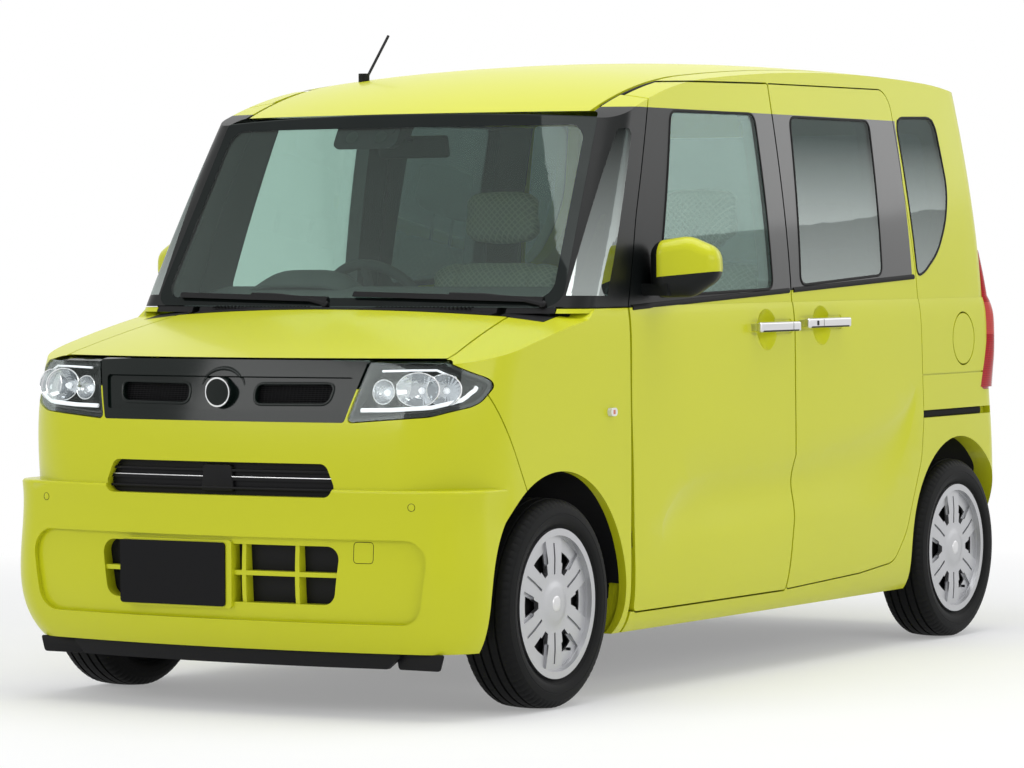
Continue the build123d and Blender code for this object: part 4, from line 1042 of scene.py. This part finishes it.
def beltStrip(tree, start, end):
    def make(shape):
        spots = [fromLeft(tree, x, beltHeight(x)) for x in spread(start, end, 40)]
        layOn(shape, spots, oval(beltForm["wide"], beltForm["proud"]))
    return make


doorBelt = beltStrip(surface("door_left"), beltForm["doorFrom"], beltForm["doorTo"])
addPair("doorBelt", doorBelt, "dark_plastic", rubberTrim, bodies=onDoors)
rearBelt = beltStrip(surface("rear_door_left"), beltForm["rearFrom"], beltForm["rearTo"])
addPair("rearBelt", rearBelt, "dark_plastic", rubberTrim)


sealForm = dict(step=0.02, outside=0.0035, nudge=0.001, wide=0.008, proud=0.005)


def sealLoop(tree, outline, radius):
    s = sealForm

    def make(shape):
        loop = divided(roundedLoop(outline, radius), s["step"], closed=True)
        middle = sum(loop, Vector((0, 0))) / len(loop)
        spots = []
        for i, point in enumerate(loop):
            along = loop[(i + 1) % len(loop)] - loop[i - 1]
            away = Vector((along.y, -along.x)).normalized()
            away = away if away.dot(point - middle) > 0 else -away
            spot = point + away * s["outside"]
            while tree.ray_cast(Vector((spot.x, 1.4, spot.y)), Vector((0, -1, 0)))[0] is None:
                spot += away * s["nudge"]  # over the thin gap beside the glass
            spots.append(fromLeft(tree, *spot))
        layOn(shape, spots, oval(s["wide"], s["proud"], 8), closed=True)
    return make


for name, (carriers, bodies, outline, radius) in windowSeals.items():
    addPair(name, sealLoop(surface(*carriers), outline, radius), "dark_plastic", rubberTrim, bodies=bodies)
ditchForm = dict(y=0.561, front=0.64, rear=-1.49, lift=0.0035, wide=0.010, high=0.006)
roofTree = surface("roof_panel")


def ditchStrip(shape):
    d = ditchForm
    spots = [(fromTop(roofTree, x, d["y"])[0], Vector((0, 0, 1))) for x in spread(d["front"], d["rear"], 60)]
    layOn(shape, spots, oval(d["wide"], d["high"]), d["lift"])


addPair("ditchStrip", ditchStrip, "dark_plastic", rubberTrim)

# slide rail slot behind the rear door, cap lines and button on the door handles, and a dark strip of painted shade
# along each handle's lower edge
railForm = dict(front=-1.050, rear=-1.480, low=0.674, high=0.717, sunk=0.010, wide=0.022, thick=0.006)
quarterTree = surface("body_side_left", "rear_door_left")


def railStrip(shape):
    r = railForm
    spots = []
    for x in spread(r["front"], r["rear"], 30):
        middle = fromLeft(quarterTree, x, r["low"])[0].lerp(fromLeft(quarterTree, x, r["high"])[0], 0.5)
        spots.append((middle, Vector((0, 1, 0))))
    layOn(shape, spots, oval(r["wide"], r["thick"], 12), -r["sunk"])


addPair("railStrip", railStrip, "dark_plastic", underseal)
handleForm = dict(line=0.0016, frontCap=0.80, rearCap=0.34, inset=0.10, underShade=0.005, underShadeThick=0.002, underShadeFrom=0.06,
                  underShadeTo=0.94, buttonAt=0.20, buttonWide=0.011, buttonHigh=0.014, buttonRound=0.003, buttonDeep=0.0025)


def handleTrim(node, cap, button):
    tree = surface(node)
    h = handleForm
    corners = [vert.co for vert in skins[node].data.vertices if vert.co.y > 0]
    front, rear = max(p.x for p in corners), min(p.x for p in corners)
    low, high = min(p.z for p in corners), max(p.z for p in corners)
    inset = (high - low) * h["inset"]

    def make(shape):
        x = front + (rear - front) * cap
        spots = [fromLeft(tree, x, z) for z in spread(low + inset, high - inset, 8)]
        layOn(shape, spots, oval(h["line"], h["line"], 6))
        # dark strip along the handle's lower edge: painted shade under the handle
        shares = spread(h["underShadeFrom"], h["underShadeTo"], 20)
        spots = [fromLeft(tree, front + (rear - front) * t, low + inset) for t in shares]
        layOn(shape, spots, oval(h["underShade"], h["underShadeThick"], 8))
        if button:
            x = front + (rear - front) * h["buttonAt"]
            z = (low + high) / 2
            wide, tall = h["buttonWide"] / 2, h["buttonHigh"] / 2
            loop = roundedLoop(rectangle(x - wide, z - tall, x + wide, z + tall), h["buttonRound"])
            out = fromLeft(tree, x, z)[0].y
            slab(shape, [Vector((a, out - 0.001, b)) for a, b in loop], (0, 1, 0), h["buttonDeep"], 0.001)
    return make


frontTrim = handleTrim("handle_left", handleForm["frontCap"], False)
addPair("handleTrim", frontTrim, "dark_plastic", darkPlastic, bodies=onDoors)
rearTrim = handleTrim("rear_handles", handleForm["rearCap"], True)
addPair("rearHandleTrim", rearTrim, "dark_plastic", darkPlastic)

# tail lamp lens, bulged out past the corner of the body
lensForm = dict(edge=[(0.766, -1.468), (0.911, -1.520), (1.192, -1.532)],
                bulge=[(0.766, 0.030), (0.86, 0.042), (1.00, 0.044), (1.12, 0.020), (1.192, 0.002)],
                back=0.628, cornerAhead=0.030, skin=0.004, rows=30, columns=14)
cornerTree = surface("body_side_left", "tail_lamps")


def valueAt(pairs, at):
    for (a, low), (b, high) in zip(pairs, pairs[1:]):
        if at <= b:
            return low + (high - low) * (at - a) / (b - a)
    return pairs[-1][1]


def tailLens(shape):
    f = lensForm
    grid = []
    for i in range(f["rows"] + 1):
        z = f["edge"][0][0] + (f["edge"][-1][0] - f["edge"][0][0]) * i / f["rows"]
        first = fromLeft(cornerTree, valueAt(f["edge"], z), z)[0]
        last = fromRear(cornerTree, f["back"], z)[0]
        push = valueAt(f["bulge"], z)
        control = Vector((last.x + f["cornerAhead"], first.y + push, z))
        row = []
        for k in range(f["columns"] + 1):
            t = k / f["columns"]
            point = first * (1 - t) ** 2 + control * (2 * t * (1 - t)) + last * t ** 2
            way = (control - first) * (1 - t) + (last - control) * t
            row.append((point, Vector((way.y, -way.x, 0)).normalized()))
        grid.append(row)
    sheetOf(shape, grid, f["skin"])


addPair("tailLens", tailLens, "red_lens", redLens, degrees=60.0)
print("sides dressed")

# windshield: wiper arms, camera box and its eyes
screenTree = surface("windshield", "cowl_panel")
armForm = dict(left=[(0.600, 1.050), (0.540, 1.0625), (0.430, 1.0735), (0.330, 1.0765)],
               right=[(-0.045, 1.050), (-0.105, 1.0625), (-0.215, 1.0725), (-0.300, 1.0755)],
               lift=0.0062, wide=0.012, high=0.006,
               nut=[(-0.006, 0.0), (0.0095, 0.0), (0.0090, 0.006), (0.0065, 0.0105), (-0.006, 0.0115)])
shape = bmesh.new()
for points in (armForm["left"], armForm["right"]):
    spots = [fromFront(screenTree, y, z) for y, z in divided(points, 0.012)]
    layOn(shape, spots, oval(armForm["wide"], armForm["high"]), armForm["lift"], taper=lambda t: 1.35 - 0.6 * t)
    turnOn(shape, armForm["nut"], 24, *spots[0])
addPiece("wiperArms", shape, "body", "dark_plastic", darkPlastic)
boxForm = dict(y=-0.090, half=0.105, low=1.478, high=1.545, deep=0.060, behindGlass=0.0065, chamfer=0.012,
               eyesApart=0.048,
               eye=[(-0.0075, 0.0), (-0.0058, 0.0), (-0.0058, 0.014), (-0.0066, 0.019), (-0.0075, 0.019)])
shape = bmesh.new()
b = boxForm
left, right, low = b["y"] - b["half"], b["y"] + b["half"], b["low"]
chamfer = b["chamfer"]
loop = roundedLoop([(left, low + chamfer), (b["y"] - b["half"] * 0.8, low), (b["y"] + b["half"] * 0.8, low),
                    (right, low + chamfer), (right, b["high"]), (left, b["high"])], 0.012)
glassTree = surface("windshield")
front = []
for y, z in loop:
    place, normal = fromFront(glassTree, y, z)
    front.append(place - normal * b["behindGlass"])
middle = sum(front, Vector()) / len(front)
rings = [[shape.verts.new(p) for p in front],
         [shape.verts.new(p.lerp(middle, 0.06) + Vector((-b["deep"] * 0.7, 0, 0))) for p in front],
         [shape.verts.new(p.lerp(middle, 0.30) + Vector((-b["deep"], 0, 0))) for p in front]]
bridge(shape, rings)
addPiece("cameraBox", shape, "body", "dark_plastic", darkPlastic)
shape = bmesh.new()
for y in (b["y"] - b["eyesApart"], b["y"] + b["eyesApart"]):
    turnOn(shape, b["eye"], 28, *fromFront(glassTree, y, (b["low"] + b["high"]) / 2))
addPiece("cameraEyes", shape, "body", "gloss_black", glossBlack)
print("windshield dressed")

# cabin: padded seats, seat frames, dash details
seatForm = dict(corner=0.035, step=0.03, tuck=0.022, voxel=0.008, pressure=4.0, cap=0.016, frames=20, seamDeep=0.007,
                seamWide=0.009)


def profilePad(shape, profile, y0, y1, columns):
    # a closed block over a side-view profile, ready to be filled
    middle = sum((Vector(p) for p in profile), Vector((0, 0))) / len(profile)
    loop = divided(roundedLoop(profile, seatForm["corner"], 4), seatForm["step"], closed=True)
    rings = []
    for k in range(columns + 1):
        t = k / columns
        tuck = seatForm["tuck"] * (abs(2 * t - 1) ** 6)
        y = y0 + (y1 - y0) * t
        ring = []
        for point in loop:
            inward = (middle - point).normalized() * tuck
            ring.append(shape.verts.new((point.x + inward.x, y, point.y + inward.y)))
        rings.append(ring)
    bridge(shape, rings)


def fillPad(mesh, name):
    # swells the block like stuffed cloth, with no point moving past the cap
    f = seatForm
    pad = addObject(name + ".work", mesh)
    remesh = pad.modifiers.new("even", "REMESH")
    remesh.mode = "VOXEL"
    remesh.voxel_size = f["voxel"]
    even = bpy.data.meshes.new_from_object(pad.evaluated_get(bpy.context.evaluated_depsgraph_get()))
    bpy.data.objects.remove(pad)
    rest = [vert.co.copy() for vert in even.vertices]
    pad = addObject(name + ".fill", even)
    cloth = pad.modifiers.new("fill", "CLOTH")
    cloth.settings.use_pressure = True
    cloth.settings.uniform_pressure_force = f["pressure"]
    cloth.settings.quality = 4
    cloth.settings.effector_weights.gravity = 0.0
    cloth.settings.mass = 0.4
    for step in range(1, f["frames"] + 1):
        bpy.context.scene.frame_set(step)
    filled = bpy.data.meshes.new_from_object(pad.evaluated_get(bpy.context.evaluated_depsgraph_get()))
    bpy.data.objects.remove(pad)
    bpy.context.scene.frame_set(1)
    even = filled
    for vert, start in zip(even.vertices, rest):
        move = vert.co - start
        if move.length > f["cap"]:
            vert.co = start + move.normalized() * f["cap"]
    return even


def sewn(mesh, seams, deep, wide):
    # pulls the cloth in along each seam; a seam is (axis, place) in metres
    for vert in mesh.vertices:
        pull = 0.0
        for axis, place in seams:
            near = abs(vert.co[axis] - place) / wide
            pull = max(pull, math.exp(-near * near))
        vert.co = vert.co - vert.normal * (deep * pull)


def addPad(name, mesh, hides=()):
    mesh.materials.clear()
    mesh.materials.append(seatCloth)
    for face in mesh.polygons:
        face.use_smooth = True
    pad = addObject(name, mesh)
    finer = pad.modifiers.new("finer", "SUBSURF")
    finer.levels = 1
    finer.render_levels = 1
    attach(pad, "body")
    if hides:
        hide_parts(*hides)
    return pad


def mirrored(mesh):
    twin = mesh.copy()
    shape = bmesh.new()
    shape.from_mesh(twin)
    for vert in shape.verts:
        vert.co.y *= -1
    bmesh.ops.reverse_faces(shape, faces=shape.faces)
    shape.to_mesh(twin)
    shape.free()
    return twin


padForms = {
    "frontCushion": dict(
        profile=[(0.270, 0.486), (0.300, 0.585), (0.236, 0.634), (-0.150, 0.602), (-0.226, 0.492)],
        y=(0.108, 0.562), seams=[(1, 0.205), (1, 0.465)], columns=16),
    "frontBack": dict(
        profile=[(-0.146, 0.620), (-0.236, 0.560), (-0.388, 1.140), (-0.345, 1.178), (-0.288, 1.164)],
        y=(0.118, 0.552), seams=[(1, 0.210), (1, 0.460)], columns=16, hides=("front_seats",)),
    "frontRest": dict(
        profile=[(-0.300, 1.222), (-0.376, 1.216), (-0.372, 1.352), (-0.352, 1.374), (-0.310, 1.366)],
        y=(0.215, 0.455), seams=[], columns=10),
    "rearBack": dict(
        profile=[(-1.168, 0.640), (-1.244, 0.566), (-1.384, 1.108), (-1.344, 1.146), (-1.298, 1.136)],
        y=(0.008, 0.438), seams=[(1, 0.110), (1, 0.336)], columns=16, hides=("rear_seat",)),
    "rearCushion": dict(
        profile=[(-0.776, 0.520), (-0.758, 0.600), (-0.812, 0.636), (-1.170, 0.610), (-1.216, 0.522)],
        y=(0.008, 0.438), seams=[(1, 0.110), (1, 0.336)], columns=16),
    "rearRest": dict(
        profile=[(-1.312, 1.200), (-1.378, 1.196), (-1.380, 1.318), (-1.362, 1.336), (-1.322, 1.330)],
        y=(0.110, 0.340), seams=[], columns=10),
}
for name, form in padForms.items():
    shape = bmesh.new()
    profilePad(shape, form["profile"], form["y"][0], form["y"][1], form["columns"])
    bmesh.ops.recalc_face_normals(shape, faces=shape.faces)
    block = bpy.data.meshes.new(name)
    shape.to_mesh(block)
    shape.free()
    pad = fillPad(block, name)
    sewn(pad, form["seams"], seatForm["seamDeep"], seatForm["seamWide"])
    twin = mirrored(pad)
    addPad(name + ".left", pad, form.get("hides", ()))
    addPad(name + ".right", twin)
print("seats filled")

frameForms = {
    "seatFrame": dict(box=(-0.160, 0.150, 0.215, 0.520), corner=0.03, floor=0.2625, tall=0.232, edge=0.012,
                      postX=-0.334, postsY=(0.275, 0.395), postLow=1.150, postHigh=1.255),
    "benchFrame": dict(box=(-1.180, 0.012, -0.900, 0.415), corner=0.02, floor=0.4805, tall=0.046, edge=0.006,
                       postX=-1.344, postsY=(0.190, 0.260), postLow=1.110, postHigh=1.225),
}
postRadius = 0.006


def seatBase(form):
    # base box with rounded rim and the two headrest posts
    def make(shape):
        loop = roundedLoop(rectangle(*form["box"]), form["corner"])
        slab(shape, [Vector((x, y, form["floor"])) for x, y in loop], (0, 0, 1), form["tall"], form["edge"])
        low, high = form["postLow"], form["postHigh"]
        post = [(low, 0.0), (low, postRadius), (high, postRadius), (high, 0.0)]
        for y in form["postsY"]:
            lathe(shape, post, 16, (form["postX"], y, 0), (0, 0, 1), (1, 0, 0))
    return make


for name, form in frameForms.items():
    addPair(name, seatBase(form), "cabin_plastic", cabinPlastic)
dashTree = surface("dashboard")
binnacleForm = dict(x=0.800, y=-0.335, half=0.165, rise=0.052, deep=0.160, sunk=0.004, skin=0.006)
shape = bmesh.new()
b = binnacleForm
grid = []
for i in range(13):
    row = []
    for j in range(9):
        across = -1 + 2 * i / 12
        back = j / 8
        x = b["x"] - b["deep"] * back
        y = b["y"] + b["half"] * across
        place, normal = fromTop(dashTree, x, y)
        lift = b["rise"] * (1 - across ** 4) * math.sin(math.pi * (0.12 + 0.62 * back)) - b["sunk"]
        row.append((place + Vector((0, 0, lift)), Vector((0, 0, 1))))
    grid.append(row)
sheetOf(shape, grid, b["skin"])
addPiece("instrumentHood", shape, "body", "cabin_plastic", cabinPlastic)
displayForm = dict(y=0.02, half=0.115, low=1.010, high=1.085, sunk=0.03, deep=0.034, lean=0.12)
shape = bmesh.new()
d = displayForm
spot, normal = touch(dashTree, (0.2, d["y"], 1.03), (1, 0, 0))
loop = roundedLoop(rectangle(d["y"] - d["half"], d["low"], d["y"] + d["half"], d["high"]), 0.01)
slab(shape, [Vector((spot.x + d["sunk"], y, z)) for y, z in loop], (-1, 0, d["lean"]), d["deep"], 0.004)
addPiece("dashDisplay", shape, "body", "gloss_black", glossBlack)
ventForm = dict(places=(-0.55, 0.33, 0.55), half=0.05, low=0.985, pitch=0.010, bars=6)
ventRows = []
for y in ventForm["places"]:
    spot, normal = touch(dashTree, (0.2, y, 1.0), (1, 0, 0))
    v = ventForm
    ventRows.append(bars((spot.x, y - v["half"], v["low"]), (spot.x, y + v["half"], v["low"]), 0.012, 0.003, 0.0012,
                         step=(0, 0, v["pitch"]), count=v["bars"]))
addBars("dashVents", ventRows, "body", "cabin_plastic", darkPlastic)
print("cabin dressed")

# rear: blank plate, lamp bar with handle, wiper, high stop lamp, bumper reflectors
tailTree = surface("tailgate", "tailgate_glass", "rear_bumper")
rearForm = dict(plateHalf=0.165, plateLow=0.700, plateHigh=0.862, plateThick=0.003, handleZ=0.915, handleHalf=0.300,
                gripHalf=0.200, gripDrop=0.024, stopZ=1.618, stopHalf=0.160, reflectorZ=0.420, reflectorFrom=0.42,
                reflectorTo=0.55, screwY=0.105, screwZ=0.780,
                screw=[(-0.010, 0.0), (0.003, 0.0), (0.0028, 0.004), (0.0016, 0.0075), (0.0, 0.008), (-0.010, 0.0028)])


def rearLoop(half, low, high, radius):
    loop = roundedLoop(rectangle(-half, low, half, high), radius)
    spots = [fromRear(tailTree, y, z) for y, z in divided(loop, 0.02, closed=True)]
    back = min(place.x for place, normal in spots)
    return [Vector((back, place.y, place.z)) for place, normal in spots]


r = rearForm
shape = bmesh.new()
plateLoop = rearLoop(r["plateHalf"], r["plateLow"], r["plateHigh"], 0.009)
slab(shape, plateLoop, (-1, 0, 0), r["plateThick"], 0.001)
addPiece("rearPlate", shape, "tailgate", "gloss_black", plateWhite)
shape = bmesh.new()
for y in (-r["screwY"], r["screwY"]):
    lathe(shape, r["screw"], 24, (plateLoop[0].x - r["plateThick"], y, r["screwZ"]), (-1, 0, 0))
addPiece("plateScrews", shape, "tailgate", "chrome", chrome)


def acrossTail(start, end, z, count):
    return [fromRear(tailTree, y, z) for y in spread(start, end, count)]


spots = acrossTail(-r["handleHalf"], r["handleHalf"], r["handleZ"], 40)
addStrip("tailgateHandle", spots, oval(0.052, 0.026, 14), "tailgate", "paint", paint)
spots = acrossTail(-r["gripHalf"], r["gripHalf"], r["handleZ"] - r["gripDrop"], 30)
addStrip("handleGrip", spots, oval(0.012, 0.012, 10), "tailgate", "dark_plastic", darkPlastic)
wiperForm = dict(pivot=(0.0, 1.135), tip=(0.33, 1.165), armLift=0.012, bladeFrom=(0.06, 1.152), bladeTo=(0.44, 1.158),
                 nut=[(-0.004, 0.0), (0.020, 0.0), (0.018, 0.012), (0.012, 0.020), (-0.004, 0.023)])
shape = bmesh.new()
w = wiperForm
spots = [fromRear(tailTree, y, z) for y, z in divided([w["pivot"], w["tip"]], 0.015)]
layOn(shape, spots, oval(0.016, 0.008), w["armLift"], taper=lambda t: 1.3 - 0.7 * t)
spots = [fromRear(tailTree, y, z) for y, z in divided([w["bladeFrom"], w["bladeTo"]], 0.015)]
layOn(shape, spots, oval(0.008, 0.009, 8), 0.005)
place, normal = fromRear(tailTree, *w["pivot"])
lathe(shape, w["nut"], 28, place, normal, (0, 0, 1))
addPiece("rearWiper", shape, "tailgate", "dark_plastic", darkPlastic)
spots = acrossTail(-r["stopHalf"], r["stopHalf"], r["stopZ"], 24)
addStrip("highStopLamp", spots, oval(0.022, 0.010, 12), "tailgate", "red_lens", redLens)


def bumperReflector(shape):
    r = rearForm
    spots = acrossTail(r["reflectorFrom"], r["reflectorTo"], r["reflectorZ"], 16)
    layOn(shape, spots, oval(0.030, 0.008, 12))


addPair("bumperReflector", bumperReflector, "red_lens", redLens)
print("rear dressed")

# cowl: air slots under the windshield
cowlForm = dict(starts=(-0.42, 0.10), rear=1.050, middle=1.062, front=1.076, pitch=0.012, bars=26)
cowlTree = surface("cowl_panel")
cowlRows = []
for start in cowlForm["starts"]:
    c = cowlForm
    z = fromTop(cowlTree, c["middle"], start + 0.15)[0].z
    cowlRows.append(bars((c["rear"], start, z + 0.001), (c["front"], start, z - 0.003), 0.004, 0.003, 0.001,
                         step=(0, c["pitch"], 0), count=c["bars"]))
addBars("cowlSlots", cowlRows, "body", "dark_plastic", rubberTrim)

# floor, light and camera
studio = dict(floorSize=60.0, floorTint=tint(0.88, 0.88, 0.88), fadeFrom=2.2, fadeTo=5.0, lift=0.30,
              worldTint=tint(0.93, 0.96, 1.0), worldLight=0.45)


def directRays(graph):
    # camera, mirror and see-through rays, which take plain white
    seen, gloss, through = (graph.add("ShaderNodeLightPath", {}, {}, f"Is {kind} Ray")
                            for kind in ("Camera", "Glossy", "Transmission"))
    return seen.highest(gloss).highest(through)


floorMesh = bpy.data.meshes.new("floor")
s = studio["floorSize"]
floorMesh.from_pydata([(x, y, 0) for x, y in rectangle(-s, -s, s, s)], [], [(0, 1, 2, 3)])
floor = addObject("floor", floorMesh)
floorFinish = Finish("paleFloor")
grain = floorFinish.noise(3.0)
floorShade = floorFinish.mix(grain, darker(studio["floorTint"], 0.98), studio["floorTint"])
floorFinish.set(Base_Color=floorShade, Roughness=0.7)
x, y, z = floorFinish.here()
far = ((x * x + y * y).root() - studio["fadeFrom"]) / (studio["fadeTo"] - studio["fadeFrom"])
far = far.highest(0.0).lowest(1.0)
white = floorFinish.add("ShaderNodeEmission", {}, {"Color": tint(1, 1, 1), "Strength": 1.0})
ground = Socket(floorFinish, floorFinish.shader.outputs[0])
amount = directRays(floorFinish) * (studio["lift"] + far * (1.0 - studio["lift"]))
floorFinish.feed(floorFinish.output.inputs["Surface"],
                 floorFinish.add("ShaderNodeMixShader", {}, {"Fac": amount, 1: ground, 2: white}))
floorMesh.materials.append(floorFinish.material)

world = bpy.data.worlds.new("studio")
bpy.context.scene.world = world
world.use_nodes = True
sky = Graph(world.node_tree)
soft = sky.add("ShaderNodeBackground", {}, {"Color": studio["worldTint"], "Strength": studio["worldLight"]})
plain = sky.add("ShaderNodeBackground", {}, {"Color": tint(1, 1, 1), "Strength": 1.0})
both = sky.add("ShaderNodeMixShader", {}, {"Fac": directRays(sky), 1: soft, 2: plain})
sky.feed(sky.nodes["World Output"].inputs["Surface"], both)


def softbox(name, place, target, size, power):
    light = bpy.data.lights.new(name, "AREA")
    light.shape = "RECTANGLE"
    light.size, light.size_y = size
    light.energy = power
    lamp = bpy.data.objects.new(name, light)
    lamp.location = place
    lamp.rotation_euler = (Vector(target) - Vector(place)).to_track_quat("-Z", "Y").to_euler()
    bpy.context.scene.collection.objects.link(lamp)


softbox("overhead", (0.5, 0.5, 6.5), (0, 0, 0.8), (7.0, 5.0), 300)
softbox("sideLight", (2.5, 8.0, 3.6), (0, 0, 0.9), (6.0, 3.0), 150)
softbox("noseLight", (8.5, -3.0, 4.2), (1.2, 0, 0.8), (5.0, 2.5), 160)
softbox("sheenLight", (-7.2, 4.9, 3.6), (-0.2, 0.7, 1.0), (8.0, 3.0), 70)

shot = dict(azimuth=30.67, elevation=1.71, roll=-0.19, place=(10.98005, 6.40837, 1.18625), focal=4370.27,
            frameWidth=1024)
az, el, roll = (math.radians(shot[key]) for key in ("azimuth", "elevation", "roll"))
ahead = -Vector((math.cos(az) * math.cos(el), math.sin(az) * math.cos(el), math.sin(el)))
right = ahead.cross(Vector((0, 0, 1))).normalized()
up = right.cross(ahead)
across = right * math.cos(roll) + up * math.sin(roll)
upright = up * math.cos(roll) - right * math.sin(roll)
lens = bpy.data.cameras.new("shot")
lens.sensor_width = 36.0
lens.lens = 36.0 * shot["focal"] / shot["frameWidth"]
lens.clip_end = 200.0
camera = bpy.data.objects.new("shot", lens)
turn = Matrix((across, upright, -ahead)).transposed().to_4x4()
camera.matrix_world = Matrix.Translation(shot["place"]) @ turn
bpy.context.scene.collection.objects.link(camera)
bpy.context.scene.camera = camera
bpy.context.scene.view_settings.view_transform = "Standard"
print("studio lit")
